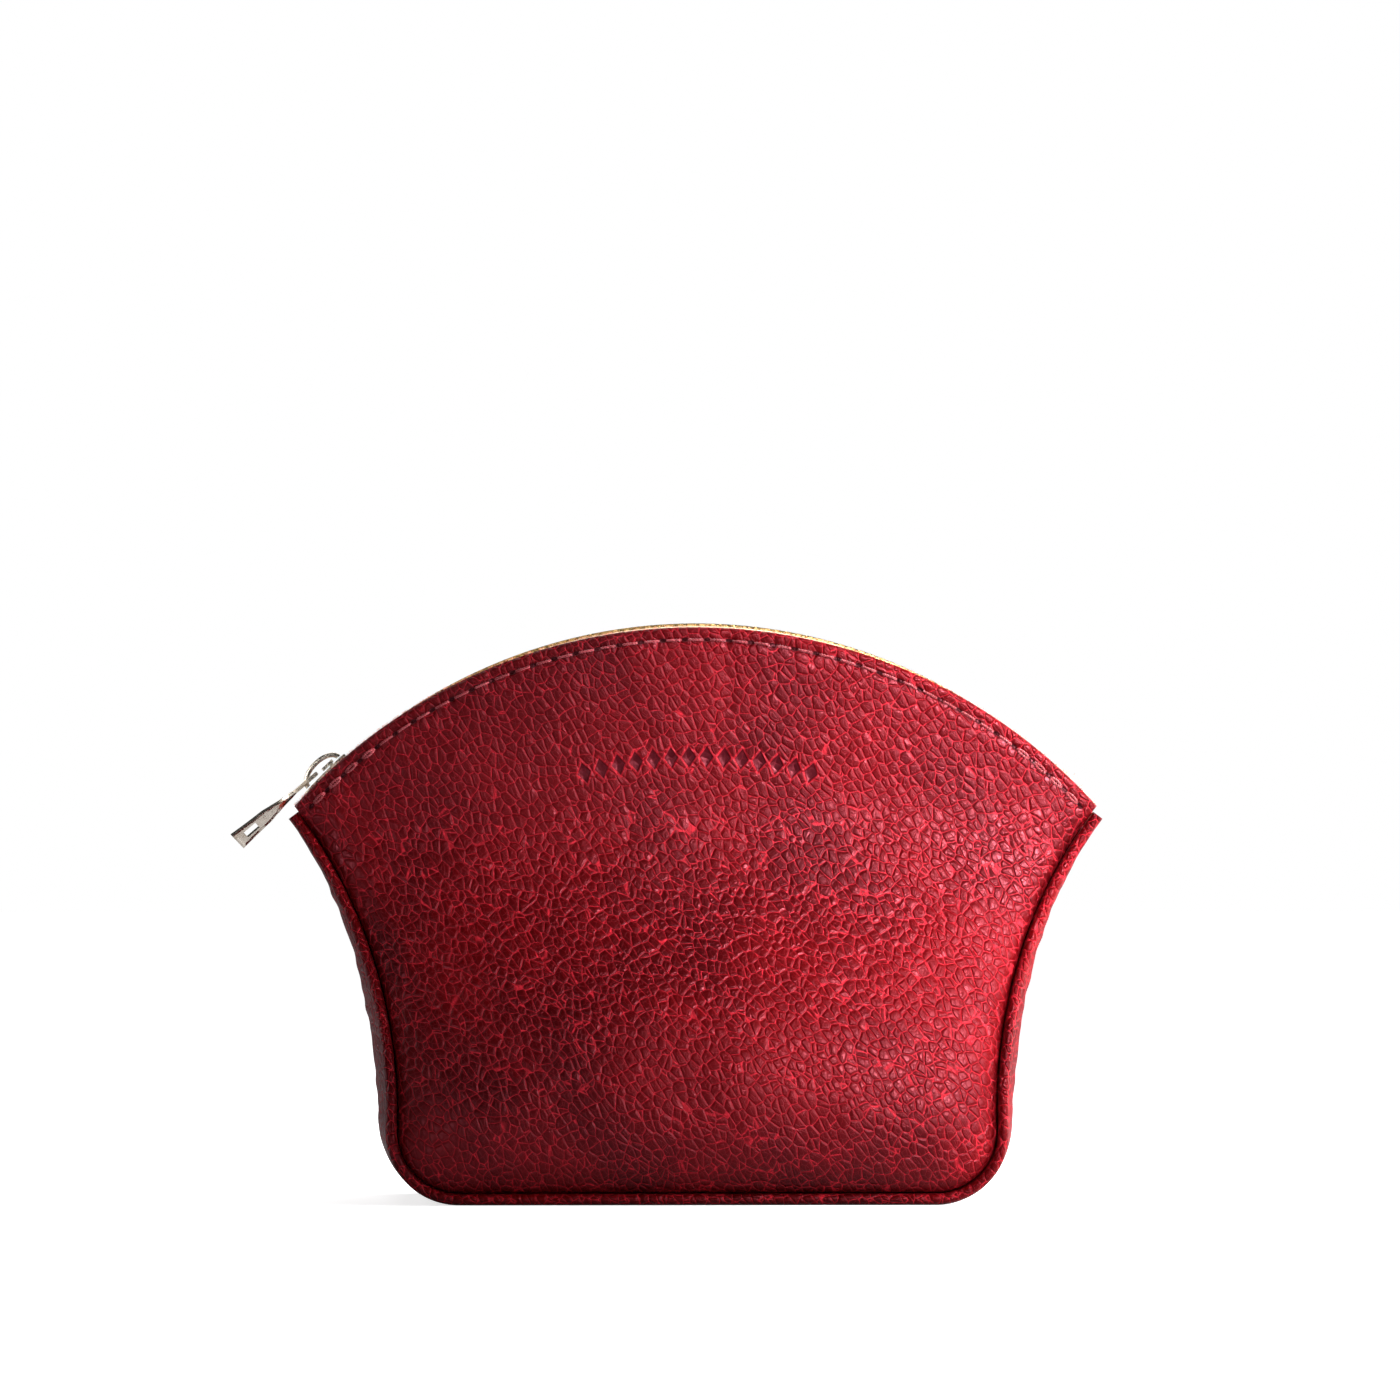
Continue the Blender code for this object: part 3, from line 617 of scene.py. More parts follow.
def makeThread(name, dark, light):
    material, tree, shader = startMaterial(name, Roughness=0.6, Specular_IOR_Level=0.4)
    shader.inputs["Sheen Weight"].default_value = 0.25
    place = addNode(tree, "TexCoord").outputs["Object"]
    strand = addNoise(tree, place, 3200.0, 3.0)["Fac"]
    age = addNoise(tree, place, 140.0, 2.0)["Fac"]
    tone = calc(tree, "MULTIPLY", spread(tree, strand, 0.3, 0.7), spread(tree, age, 0.15, 0.75))
    tree.links.new(blendColor(tree, tone, dark, light), shader.inputs["Base Color"])
    addBump(tree, shader, 0.5, 0.00006, strand)
    return material


def makeMetal(name, color, tarnish, roughness, scratchDepth):
    material, tree, shader = startMaterial(name, Metallic=1.0)
    place = addNode(tree, "TexCoord").outputs["Object"]
    rubbed = useGroup(tree, rubbedMetal, {"Vector": place, "Scratch": 1500.0})
    tone = calc(tree, "MULTIPLY", rubbed["Tarnish"], 0.7)
    tree.links.new(blendColor(tree, tone, color, tarnish), shader.inputs["Base Color"])
    rough = calc(tree, "MULTIPLY_ADD", rubbed["Scratch"], 0.10, roughness)
    rough = calc(tree, "MULTIPLY_ADD", rubbed["Tarnish"], 0.14, rough)
    tree.links.new(rough, shader.inputs["Roughness"])
    addBump(tree, shader, 0.4, scratchDepth, rubbed["Scratch"])
    return material


frontLeather = makeLeather("frontLeather", holes=True, pressed=True)
backLeather = makeLeather("backLeather", holes=True, shift=(0.31, 0.17, 0.05))
gussetLeather = makeLeather("gussetLeather", shift=(0.11, 0.43, 0.21), shine=0.35)
fleshSide = makeFlesh("fleshSide", (0.30, 0.028, 0.030), (0.52, 0.085, 0.075), 0.00010)
cutEdge = makeFlesh("cutEdge", (0.42, 0.022, 0.012), (0.80, 0.075, 0.035), 0.00014)
tapeCloth = makeTapeCloth("tapeCloth")
stitchThread = makeThread("stitchThread", (0.20, 0.008, 0.014), (0.55, 0.09, 0.11))
seamThread = makeThread("seamThread", (0.22, 0.02, 0.03), (0.45, 0.08, 0.09))
fibreThread = makeThread("fibreThread", (0.85, 0.22, 0.13), (0.98, 0.62, 0.45))
toothBrass = makeMetal("toothBrass", (0.86, 0.60, 0.25), (0.45, 0.27, 0.10), 0.24, 0.00003)
paleGold = makeMetal("paleGold", (0.93, 0.83, 0.70), (0.74, 0.60, 0.44), 0.20, 0.000004)
print("finishes made")

# leather panels

panelLook = {
    "columns": 260,
    "rows": 150,
    "round": 0.0085,  # the face starts to turn in this far from the seam
    "drop": 0.0031,  # how much it has turned in at the seam
    "puff": 0.0022,
    "wave": 0.0007,
    "waveSize": 0.030,
    "trackSink": 0.00025,
    "trackHalf": 0.0009,
    "holeSink": 0.00030,
    "holeHalf": 0.0010,
    "pressSink": 0.00030,
    "dentX": 0.008,  # a shallow upright dent near the top of the front
    "dentHalf": 0.0022,
    "dentSink": 0.0004,
    "edgeRound": 0.0008,
    "edgeDrop": 0.00035,
    "lipSteps": 3,
}


def panelDepth(x, z, side):
    look = panelLook
    across = clamp(abs(x) / max(sideHalf(z), 1e-6))
    belly = bellyShape(z)
    depth = seamDepth(z) + pouch["belly"] * belly * (1 - across**4)
    depth += look["puff"] * belly * (1 - across**2) ** 2
    inland = seamDistance(x, z)
    calm = smooth(0.002, 0.016, inland) * smooth(hornZ + 0.03, hornZ - 0.02, z)
    spot = Vector((x / look["waveSize"], side * 3.1, z / look["waveSize"]))
    depth += look["wave"] * (noise.noise(spot) + 0.4 * noise.noise(spot * 2.3)) * calm
    if side < 0:
        aside = (x - look["dentX"]) / look["dentHalf"]
        depth -= look["dentSink"] * math.exp(-aside ** 2) * smooth(0.112, 0.134, z)
        depth -= look["pressSink"] * lozengeShare(x, z)
    fade = smooth(hornZ + 0.0002, hornZ - 0.008, z)
    if inland < look["round"]:
        turn = 1 - inland / look["round"]
        depth -= look["drop"] * (1 - math.sqrt(max(1 - turn * turn, 0))) * (0.25 + 0.75 * fade)
    radius = math.hypot(x, z - archCentreZ)
    away = (radius - stitchRadius) / look["trackHalf"]
    angle = math.atan2(x, z - archCentreZ)
    if abs(away) < 3 and abs(angle) < topstitch["end"] + pastEnd:
        turns = angle * stitchRadius / topstitch["pitch"]
        offset = (turns - math.floor(turns) - 0.5) * topstitch["pitch"] / look["holeHalf"]
        depth -= look["trackSink"] * math.exp(-away * away)
        depth -= look["holeSink"] * math.exp(-away * away - offset * offset)
    edge = topRadius - radius
    if edge < look["edgeRound"] and z > hornZ:
        depth -= look["edgeDrop"] * (1 - clamp(edge / look["edgeRound"])) ** 2
    return depth


def sideHalf(z):
    rise = clamp((z - pouch["waistZ"]) / sideRadius, 0, 0.99)
    return pouch["waistHalf"] + sideRadius * (1 - math.sqrt(1 - rise * rise))


def lozengeShare(x, z):
    across = x - motif["middle"]
    radius = math.hypot(across, z - archCentreZ)
    away = abs(radius - motif["radius"])
    if away > motif["halfHeight"]:
        return 0.0
    turns = math.atan2(across, z - archCentreZ) * motif["radius"] / motif["pitch"]
    if abs(turns) > motif["count"] / 2:
        return 0.0
    offset = abs(turns - math.floor(turns) - 0.5) * motif["pitch"]
    return smooth(1.1, 0.6, offset / motif["halfWidth"] + away / motif["halfHeight"])


def lipEnd(z):
    fade = clamp((hornZ - z) / (hornZ - seamZ) * 6)
    return seamDepth(z) - leather - gap - (pouch["lip"] - leather - gap) * fade


def makePanel(word, side, material):
    def place(across, rise):
        across = 2 * across - 1
        edge, _ = seamAt(flatHalf + rise * (seamReach - flatHalf))
        arch = archCentreZ + math.sqrt(topRadius**2 - (across * hornHalf) ** 2)
        x = across * edge.x
        z = seamZ + (edge.z - seamZ) / (hornZ - seamZ) * (arch - seamZ)
        return Vector((x, side * panelDepth(x, z, side), z))

    bm = bmesh.new()
    grid = addSheet(bm, panelLook["columns"], panelLook["rows"], place)
    tops = set(grid[-(panelLook["columns"] + 1):])
    edges = [edge for edge in bm.edges if edge.is_boundary and not set(edge.verts) <= tops]
    for step in range(panelLook["lipSteps"]):
        grown = bmesh.ops.extrude_edge_only(bm, edges=edges)["geom"]
        for vert in (item for item in grown if isinstance(item, bmesh.types.BMVert)):
            target = lipEnd(vert.co.z)
            share = 1 / (panelLook["lipSteps"] - step)
            vert.co.y = side * (abs(vert.co.y) + (min(target, abs(vert.co.y)) - abs(vert.co.y)) * share)
        edges = [item for item in grown if isinstance(item, bmesh.types.BMEdge)]
    bmesh.ops.recalc_face_normals(bm, faces=bm.faces)
    outside = Vector((0, side * 0.03, 0.06))
    middle = min(bm.faces, key=lambda face: (face.calc_center_median() - outside).length)
    if middle.normal.y * side < 0:
        bmesh.ops.reverse_faces(bm, faces=bm.faces)
    panel = addPiece(word + "PanelLeather", bm, [material, fleshSide, cutEdge], sharp=60)
    shell = panel.modifiers.new("hide", "SOLIDIFY")
    shell.thickness = leather
    shell.offset = -1
    shell.use_rim = True
    shell.material_offset = 1
    shell.material_offset_rim = 2
    applyModifiers(panel)
    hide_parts(word + "_panel", word + "_panel_top")
    bendAtMouth(panel)
    return panel


for word, side, material in (("front", -1, frontLeather), ("back", 1, backLeather)):
    makePanel(word, side, material)
print("panels made")

# gusset

gusset = {
    "rows": 330,
    "rollWidth": 0.0031,
    "rollSink": 0.0006,
    "bulge": 0.0024,
    "drop": 0.0017,  # its ends stop this far below the panels' corners
    "wrinkle": 0.00045,
    "pinch": 0.0004,  # how far the web is drawn in beside the roll
    "pinchWide": 0.0009,
    "rollSteps": 10,
    "webSteps": 12,
}


def gussetRing(run):
    spot, inward = seamAt(run)
    depth = seamDepth(spot.z)
    bulge = gusset["bulge"] * bellyShape(spot.z)
    width = gusset["rollWidth"]
    web = depth - gusset["rollSink"] - width / 2
    lip = depth - pouch["lip"]
    middle = (gap + width) / 2
    outer = [(gap, lip), (gap, (lip + web) / 2)]
    rolls, webs = gusset["rollSteps"], gusset["webSteps"]
    for k in range(rolls + 1):
        turn = math.pi * (1 - k / rolls)
        outer.append((middle + (width - gap) / 2 * math.cos(turn), web + width / 2 * math.sin(turn)))
    for k in range(1, webs):
        y = web * (1 - k / webs)
        pinch = gusset["pinch"] * math.exp(-((web - y) / gusset["pinchWide"] - 1) ** 2)
        pinch *= smooth(0.0, 0.012, spot.z - seamZ)
        outer.append((width + bulge * (1 - (y / web) ** 2) - pinch, y))
    mirrored = [(u, -y) for u, y in reversed(outer)]
    outer += [(width + bulge, 0)] + mirrored
    inner = []
    for k in range(webs + 1):
        y = -lip + 2 * lip * k / webs
        inner.append((width - leather + bulge * (1 - (y / web) ** 2), y))
    points = []
    for index, (u, y) in enumerate(outer + inner + [outer[0]]):
        if u > middle and index < len(outer):
            folds = noise.noise(Vector((run * 260, y * 38, 0))) * (1 - abs(y) / (web + width))
            folds += 0.5 * noise.noise(Vector((run * 90, y * 60, 5)))
            u += gusset["wrinkle"] * folds * smooth(0.004, 0.016, spot.z)
        point = spot - inward * u
        points.append(Vector((point.x, y, point.z)))
    return points


def makeGusset():
    reach = seamReach - gusset["drop"]
    count = len(gussetRing(0.0)) - 1
    rings = {}

    def place(around, along):
        if along not in rings:
            rings[along] = gussetRing((2 * along - 1) * reach)
        return rings[along][round(around * count)]

    bm = bmesh.new()
    addSheet(bm, count, gusset["rows"], place)
    sew(bm)
    closeUp(bm, 1)
    turnOutwards(bm)
    piece = addPiece("gussetStrip", bm, [gussetLeather, cutEdge], sharp=50)
    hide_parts("gusset")
    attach(piece, "pouch")


makeGusset()
print("gusset made")

# zip

zipLook = {
    "chainHalf": 0.0030,
    "pitch": 0.0027,
    "toothWide": 0.00145,
    "headWide": 0.00100,
    "toothHalfThick": 0.0010,
    "clampLong": 0.0017,
    "headLong": 0.0019,
    "toothEase": 0.00014,
    "tapeThick": 0.0006,
    "tapeInner": 0.0064,
    "tapeDepth": 0.014,
    "tapeBend": 0.0012,
    "stopLength": 0.0017,
    "sliderHalf": 0.00675,
}
chainEnd = parkAngle + (zipLook["sliderHalf"] + gap) / chainRadius


def makeTape(word, side):
    half = zipLook["tapeThick"] / 2
    outer = zipLook["tapeInner"] + zipLook["tapeThick"]
    bend = zipLook["tapeBend"]
    start = zipLook["chainHalf"] + gap
    section = [(half, start), (half, (start + outer - bend) / 2)]
    for k in range(5):
        turn = math.pi / 2 * k / 4
        section.append((half - bend + bend * math.cos(turn), outer - bend + bend * math.sin(turn)))
    section += [(-zipLook["tapeDepth"] / 2, outer), (-zipLook["tapeDepth"], outer),
                (-zipLook["tapeDepth"], outer - 2 * half), (-zipLook["tapeDepth"] / 2, outer - 2 * half)]
    for k in range(5):
        turn = math.pi / 2 * (1 - k / 4)
        section.append((half - bend + (bend - 2 * half) * math.cos(turn),
                        outer - bend + (bend - 2 * half) * math.sin(turn)))
    section += [(-half, start), (half, start)]
    reach = chainEnd + zipLook["stopLength"] / chainRadius
    count = len(section) - 1

    def place(around, along):
        h, y = section[round(around * count)]
        return onChain(0, h, side * y, (2 * along - 1) * reach)

    bm = bmesh.new()
    addSheet(bm, count, 240, place)
    sew(bm)
    closeUp(bm)
    turnOutwards(bm)
    tape = addPiece(word + "ZipTape", bm, [tapeCloth])
    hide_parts(*[word + "_tape_" + stretch for stretch in ("left", "middle", "right")])
    bendAtMouth(tape)


def makeTooth(side):
    # one tooth: a clamp over the tape's edge and a narrower head that reaches over the middle
    look = zipLook
    bm = bmesh.new()
    bmesh.ops.create_cube(bm, size=1)
    size = (look["toothWide"], look["clampLong"], 2 * look["toothHalfThick"])
    bmesh.ops.scale(bm, verts=bm.verts, vec=size)
    bmesh.ops.translate(bm, verts=bm.verts, vec=(0, look["chainHalf"] - look["clampLong"] / 2, 0))
    front = min(bm.faces, key=lambda face: face.calc_center_median().y)
    bmesh.ops.inset_region(bm, faces=[front], thickness=(look["toothWide"] - look["headWide"]) / 2)
    head = bmesh.ops.extrude_discrete_faces(bm, faces=[front])["faces"][0]
    bmesh.ops.translate(bm, verts=head.verts, vec=(0, -look["headLong"], 0))
    edges = [edge for edge in bm.edges if edge.calc_length() > 0.0004]
    ease = look["toothEase"]
    bmesh.ops.bevel(bm, geom=edges, offset=ease, segments=1, profile=0.5, affect="EDGES", material=-1)
    bmesh.ops.scale(bm, verts=bm.verts, vec=(1, side, 1))
    bmesh.ops.recalc_face_normals(bm, faces=bm.faces)
    mesh = bpy.data.meshes.new("tooth")
    bm.to_mesh(mesh)
    bm.free()
    return mesh


def makeTeeth(word, side):
    tooth = makeTooth(side)
    bm = bmesh.new()
    step = zipLook["pitch"] / chainRadius
    count = int(2 * chainEnd / step)
    for k in range(count):
        angle = -chainEnd + step * (k + (0.25 if side > 0 else 0.75))
        if angle > chainEnd - step / 4:
            continue
        before = len(bm.verts)
        bm.from_mesh(tooth)
        bm.verts.ensure_lookup_table()
        turn = Matrix.Rotation(angle, 4, "Y")
        seat = Matrix.Translation(onChain(0, 0, 0, angle)) @ turn
        bmesh.ops.transform(bm, verts=bm.verts[before:], matrix=seat)
    teeth = addPiece(word + "ZipTeeth", bm, [toothBrass], sharp=30)
    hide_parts(*[word + "_teeth_" + stretch for stretch in ("left", "middle", "right")])
    bendAtMouth(teeth)


for word, side in (("front", -1), ("back", 1)):
    makeTape(word, side)
    makeTeeth(word, side)
print("zip made")

# stitching


def addStrand(bm, path, radius, sides=6, rows=12):
    # a tube along path(share), closed to a point at both ends

    def place(around, along):
        here = path(along)
        ahead = path(along + 0.01) - path(along - 0.01)
        frame = ahead.to_track_quat("Z", "Y")
        thin = radius * min(1.0, math.sqrt(max(math.sin(math.pi * along), 0)) * 1.6)
        turn = 2 * math.pi * around
        return here + frame @ Vector((thin * math.cos(turn), thin * math.sin(turn), 0))

    addSheet(bm, sides, rows, place)


def stitchPath(index, side, offset, phase, sway):
    look = topstitch
    long = look["pitch"] * look["share"]

    def path(share):
        angle = (index * look["pitch"] + (share - 0.5) * long) / stitchRadius
        radius = stitchRadius + sway * math.sin(math.pi * clamp(share))
        turn = phase + 2 * math.pi * share * long / look["twist"]
        radius += offset * math.cos(turn)
        x = radius * math.sin(angle)
        z = archCentreZ + radius * math.cos(angle)
        arch = 1 - abs(2 * share - 1) ** 4
        lift = look["rise"] * arch - look["sunk"] + offset * math.sin(turn)
        surface = panelDepth(x, z, side)
        return Vector((x, side * (surface + panelLook["trackSink"] * 0.5 + lift), z))

    return path


def makeTopstitch(word, side):
    look = topstitch
    bm = bmesh.new()
    last = int(look["end"] * stitchRadius / look["pitch"])
    for index in range(-last, last + 1):
        ways = [0.0]
        if last - abs(index) < look["doubled"]:
            ways = [look["sway"], -look["sway"]]
        for sway in ways:
            for ply in (0, math.pi):
                addStrand(bm, stitchPath(index, side, look["offset"], ply + index, sway), look["ply"])
    sew(bm)
    bmesh.ops.recalc_face_normals(bm, faces=bm.faces)
    row = addPiece(word + "Topstitch", bm, [stitchThread], sharp=60)
    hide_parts(*[word + "_topstitch_" + stretch for stretch in ("left", "middle", "right")])
    bendAtMouth(row)


for word, side in (("front", -1), ("back", 1)):
    makeTopstitch(word, side)
    frame["nodes"][word + "_seam_thread"].data.materials.clear()
    frame["nodes"][word + "_seam_thread"].data.materials.append(seamThread)
print("stitching made")


fuzz = {
    "count": 900,
    "long": 0.00055,
    "thick": 0.000045,
    "seed": 7,
    "frayEvery": 60,
    "frayFrom": 42.5,  # degrees from upright
    "frayTo": 45.5,
    "frayLong": (0.0012, 0.0024),
    "frayThick": 1.6,
}


def makeFuzz(word, side):
    # the fibres that stand off the cut top edge, with a few longer ones where the right end has frayed
    bm = bmesh.new()
    chance = random.Random(fuzz["seed"] + side)
    reach = math.asin(hornHalf / topRadius)
    for k in range(fuzz["count"]):
        angle = chance.uniform(-reach, reach)
        long = fuzz["long"] * chance.uniform(0.4, 1.3)
        lean = chance.uniform(-0.9, 0.9)
        thick = fuzz["thick"]
        if side < 0 and k % fuzz["frayEvery"] == 0:
            angle = math.radians(chance.uniform(fuzz["frayFrom"], fuzz["frayTo"]))
            long, lean = chance.uniform(*fuzz["frayLong"]), chance.uniform(-1.2, 0.6)
            thick = fuzz["thick"] * fuzz["frayThick"]
        sink = chance.uniform(0.0001, leather - 0.0001)
        tilt = chance.uniform(-0.7, 0.7)

        def path(share, angle=angle, long=long, lean=lean, sink=sink, tilt=tilt):
            radius = topRadius - 0.00005 + long * share * math.cos(lean)
            turn = angle + long * (share * math.sin(lean) + 0.3 * share * share * tilt) / topRadius
            y = side * (topDepth - sink + long * tilt * share)
            return Vector((radius * math.sin(turn), y, archCentreZ + radius * math.cos(turn)))

        addStrand(bm, path, thick, 3, 3)
    sew(bm)
    bmesh.ops.recalc_face_normals(bm, faces=bm.faces)
    fibres = addPiece(word + "EdgeFibres", bm, [fibreThread], sharp=80)
    bendAtMouth(fibres)


for word, side in (("front", -1), ("back", 1)):
    makeFuzz(word, side)
print("edge fibres made")

# slider, crown and puller

slider = {
    "plateTop": 0.0022,
    "crownHalf": 0.0058,
    "crownRise": 0.0037,
    "crownThick": 0.0012,
    "crownHalfWidth": 0.0016,
    "pivotBack": 0.0018,
    "lift": 5.4,  # degrees between the puller and the chain where it rests
    "bodyBevel": 0.00022,
}

puller = {
    "length": 0.0257,
    "thick": 0.0010,
    "ring": 0.0066,
    "bar": 0.0006,
    "twist": 26,
    "slotFrom": 0.0192,
    "slotTo": 0.0230,
    "slotHalf": 0.0018,
    "rim": 0.0007,
    "recess": 0.00024,
    "recessEdge": 0.00022,
    "ringWall": 0.0010,
    "leastWall": 0.0005,
    "waist": 0.35,  # how much narrower it gets below the ring
    "flare": 0.0019,
    "ease": 0.00016,
    "easeWide": 0.00020,
}


def softenedCopy(node, name, width, material, body):
    # the CAD solid with its flat faces joined up and its edges eased
    bm = bmesh.new()
    bm.from_mesh(frame["nodes"][node].data)
    sew(bm, 1e-6)
    bmesh.ops.dissolve_limit(bm, angle_limit=math.radians(1), verts=bm.verts, edges=bm.edges)
    turnOutwards(bm)
    edges = [edge for edge in bm.edges if edge.is_manifold and edge.calc_face_angle() > math.radians(30)]
    bmesh.ops.bevel(bm, geom=edges, offset=width, segments=3, profile=0.5, affect="EDGES", material=-1)
    piece = addPiece(name, bm, [material], sharp=40)
    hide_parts(node)
    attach(piece, body)
    return piece


def makeCrown():
    look = slider
    foot = look["plateTop"] + gap
    wide, thick = look["crownHalfWidth"], look["crownThick"]
    ease = 0.0003
    section = []
    for cx, cy, start in ((wide - ease, thick - ease, 0), (-wide + ease, thick - ease, 90),
                          (-wide + ease, ease, 180), (wide - ease, ease, 270)):
        for k in range(4):
            turn = math.radians(start + 30 * k)
            section.append((cx + ease * math.cos(turn), cy + ease * math.sin(turn)))
    section.append(section[0])
    count = len(section) - 1

    def place(around, along):
        y, out = section[round(around * count)]
        turn = math.pi * along
        inward = thick - out
        s = (look["crownHalf"] - inward) * math.cos(turn)
        h = foot + (look["crownRise"] - gap - inward) * math.sin(turn)
        return onChain(s, h, y, -parkAngle)

    bm = bmesh.new()
    addSheet(bm, count, 32, place)
    sew(bm)
    closeUp(bm)
    turnOutwards(bm)
    crown = addPiece("sliderCrown", bm, [paleGold], sharp=50)
    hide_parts("slider_crown")
    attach(crown, "slider")


def pullerHalf(t):
    ring = slider["crownHalfWidth"] + gap + puller["ringWall"]
    share = max(t - puller["ring"], 0) / (puller["length"] - puller["ring"])
    waist = 1 - puller["waist"] * math.sin(math.pi * min(share / 0.5, 1))
    return ring * waist + puller["flare"] * share**2


def makePuller():
    look = puller
    hole = slider["crownHalfWidth"] + gap
    lengths = [-look["bar"] + 2 * look["bar"] * k / 3 for k in range(3)]
    lengths += [look["bar"] + (look["ring"] - look["bar"]) * k / 10 for k in range(10)]
    lengths += [look["ring"] + (look["slotFrom"] - look["ring"]) * k / 40 for k in range(40)]
    lengths += [look["slotFrom"] + (look["slotTo"] - look["slotFrom"]) * k / 12 for k in range(12)]
    lengths += [look["slotTo"] + (look["length"] - look["slotTo"]) * k / 10 for k in range(11)]
    rows = len(lengths) - 1
    columns = 28

    def place(across, along):
        t = lengths[round(along * rows)]
        half = pullerHalf(t)
        nearSlot = t > (look["ring"] + look["slotFrom"]) / 2
        inner = look["slotHalf"] if nearSlot else min(hole, half - look["leastWall"])
        third = round(across * columns) - columns // 2
        beyond = abs(third) - 8
        y = inner * abs(third) / 8 if beyond <= 0 else inner + (half - inner) * beyond / 6
        return Vector((t, math.copysign(y, third), 0))

    bm = bmesh.new()
    addSheet(bm, columns, rows, place)
    gone = []
    for face in bm.faces:
        centre = face.calc_center_median()
        t, y = centre.x, abs(centre.y)
        inRing = look["bar"] < t < look["ring"] and y < min(hole, pullerHalf(t) - look["leastWall"])
        inSlot = look["slotFrom"] < t < look["slotTo"] and y < look["slotHalf"]
        if inRing or inSlot:
            gone.append(face)
    bmesh.ops.delete(bm, geom=gone, context="FACES")
    grown = bmesh.ops.extrude_face_region(bm, geom=list(bm.faces))["geom"]
    raised = [item for item in grown if isinstance(item, bmesh.types.BMVert)]
    bmesh.ops.translate(bm, verts=raised, vec=(0, 0, look["thick"]))
    bmesh.ops.translate(bm, verts=bm.verts, vec=(0, 0, -look["thick"] / 2))
    for vert in bm.verts:
        t, y, z = vert.co
        rim = min(pullerHalf(t) - abs(y), look["length"] - t, t - look["ring"] - 0.0004)
        sink = look["recess"] * smooth(look["rim"], look["rim"] + look["recessEdge"], rim)
        border = min(pullerHalf(t) - abs(y), look["length"] - t, t + look["bar"])
        ease = look["ease"] * smooth(look["easeWide"], 0.0, border)
        vert.co.z -= math.copysign(sink + ease, z)
    twist = math.radians(look["twist"])
    slope = parkAngle + slider["pivotBack"] / chainRadius - math.radians(slider["lift"])
    along = Vector((-math.cos(slope), 0, -math.sin(slope)))
    outward = Vector((-math.sin(slope), 0, math.cos(slope)))
    pivot = Vector(joints["puller_swing"]["pos_m"])
    for vert in bm.verts:
        share = clamp((vert.co.x - look["ring"]) / look["ring"])
        x, y, z = Matrix.Rotation(-twist * share, 3, "X") @ vert.co
        vert.co = pivot + along * x + Vector((0, y, 0)) + outward * z
    turnOutwards(bm)
    tab = addPiece("pullerTab", bm, [paleGold], sharp=35)
    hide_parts("puller")
    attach(tab, "puller")


softenedCopy("slider_body", "sliderBody", slider["bodyBevel"], paleGold, "slider")
makeCrown()
makePuller()
for node, material in (("slider_pawl", paleGold), ("bottom_stop", toothBrass), ("top_stop_front", toothBrass),
                       ("top_stop_back", toothBrass)):
    frame["nodes"][node].data.materials.clear()
    frame["nodes"][node].data.materials.append(material)
print("slider and puller made")

# floor, lights and camera

studio = {
    "distance": 2.6,
    "aimX": 0.0012,
    "aimZ": 0.1247,
    "shownWidth": 0.350,
    "swing": -1.2,  # degrees the camera stands to the left
    "rise": 0.2,  # degrees it stands above level
    "floorGlow": 0.70,  # keeps the floor as pale as the backdrop
    "glowFrom": 0.15,  # metres from the pouch where the glow starts to rise to the backdrop's
    "glowTo": 0.60,
    "bounce": (0.30, 0.30, 0.31, 1),  # of the floor on the pouch
    "worldLight": 0.04,
}


def makeFloor():
    bm = bmesh.new()
    bmesh.ops.create_grid(bm, x_segments=4, y_segments=4, size=3)
    bmesh.ops.translate(bm, verts=bm.verts, vec=(0, 0, cadBox[0].z - 0.0001))
    material, tree, shader = startMaterial("paleFloor", Roughness=0.9)
    shader.inputs["Base Color"].default_value = (0.90, 0.90, 0.90, 1)
    place = addNode(tree, "TexCoord").outputs["Object"]
    away = addNode(tree, "VectorMath", {0: place}, operation="LENGTH").outputs["Value"]
    strength = spread(tree, away, studio["glowFrom"], studio["glowTo"], studio["floorGlow"], 1.0)
    glow = addNode(tree, "Emission", {"Strength": strength})
    lit = addNode(tree, "AddShader", {0: shader.outputs[0], 1: glow.outputs[0]})
    dull = addNode(tree, "BsdfDiffuse", {"Color": studio["bounce"]})
    ray = addNode(tree, "LightPath").outputs["Is Camera Ray"]
    seen = addNode(tree, "MixShader", {0: ray, 1: dull.outputs[0], 2: lit.outputs[0]})
    tree.links.new(seen.outputs[0], tree.nodes["Material Output"].inputs["Surface"])
    floor = addPiece("floor", bm, [material])


def addLight(name, place, aim, size, power, spreadAngle=180, shines=True):
    data = bpy.data.lights.new(name, "AREA")
    data.shape = "RECTANGLE"
    data.size, data.size_y = size
    data.energy = power
    data.spread = math.radians(spreadAngle)
    light = bpy.data.objects.new(name, data)
    light.location = place
    light.rotation_euler = (Vector(aim) - Vector(place)).to_track_quat("-Z", "Y").to_euler()
    light.visible_camera = False
    light.visible_glossy = shines
    bpy.context.scene.collection.objects.link(light)


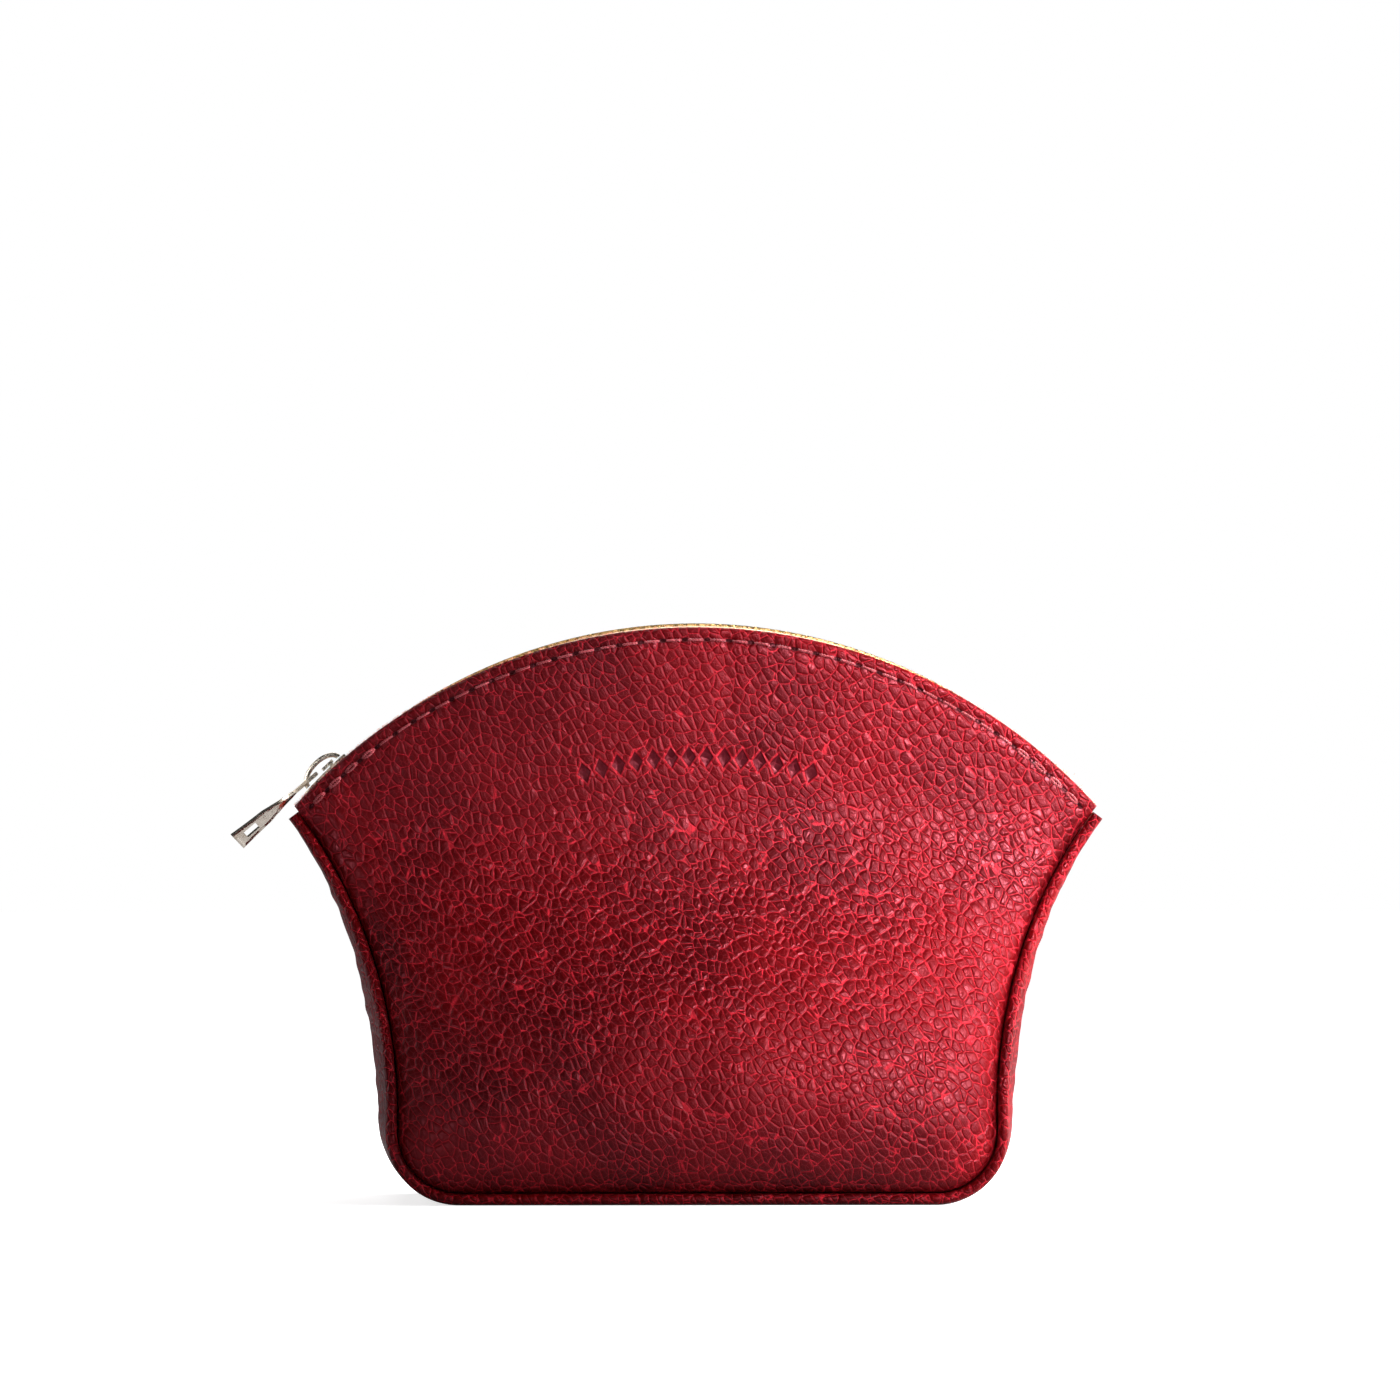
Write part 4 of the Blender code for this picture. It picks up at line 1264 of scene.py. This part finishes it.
def makeWorld():
    world = bpy.data.worlds.new("studio")
    world.use_nodes = True
    tree = world.node_tree
    seen = tree.nodes["Background"]
    seen.inputs["Color"].default_value = (1, 1, 1, 1)
    seen.inputs["Strength"].default_value = 1.0
    dim = addNode(tree, "Background", {"Color": (0.95, 0.97, 1.0, 1), "Strength": studio["worldLight"]})
    ray = addNode(tree, "LightPath").outputs["Is Camera Ray"]
    mix = addNode(tree, "MixShader", {0: ray, 1: dim.outputs[0], 2: seen.outputs[0]})
    tree.links.new(mix.outputs[0], tree.nodes["World Output"].inputs["Surface"])
    bpy.context.scene.world = world


def makeCamera():
    look = studio
    data = bpy.data.cameras.new("camera")
    data.sensor_width = 36
    data.lens = 36 * look["distance"] / look["shownWidth"]
    data.clip_end = 20
    camera = bpy.data.objects.new("camera", data)
    swing, rise = math.radians(look["swing"]), math.radians(look["rise"])
    aim = Vector((look["aimX"], 0, look["aimZ"]))
    back = Vector((math.sin(swing) * math.cos(rise), -math.cos(swing) * math.cos(rise), math.sin(rise)))
    camera.location = aim + back * look["distance"]
    camera.rotation_euler = (-back).to_track_quat("-Z", "Y").to_euler()
    bpy.context.scene.collection.objects.link(camera)
    bpy.context.scene.camera = camera


makeFloor()
makeWorld()
makeCamera()
addLight("keyRight", (0.29, -0.27, 0.21), (0.11, 0, 0.08), (0.16, 0.16), 0.18, 58)
addLight("kicker", (0.20, -0.46, 0.28), (0.090, 0, 0.115), (0.10, 0.10), 0.24, 32)
addLight("fillFront", (-0.7, -1.3, 0.6), (0, 0, 0.07), (0.9, 0.9), 0.24, shines=False)
addLight("rimRight", (0.55, -0.03, 0.16), (0.08, 0, 0.06), (0.25, 0.5), 10, 120, shines=False)
addLight("rimBack", (0.60, 0.30, 0.22), (0.06, 0, 0.06), (0.25, 0.5), 2)
addLight("rimLeft", (-0.62, 0.16, 0.28), (-0.05, 0, 0.06), (0.30, 0.6), 1.2)
addLight("pullerGlint", (-0.30, -0.40, 0.12), (-0.125, 0, 0.10), (0.20, 0.20), 0.030, 24)
addLight("top", (0.0, 0.45, 0.95), (0, 0, 0.1), (0.9, 0.5), 4)
bpy.context.scene.view_settings.view_transform = "Standard"
print("studio made")
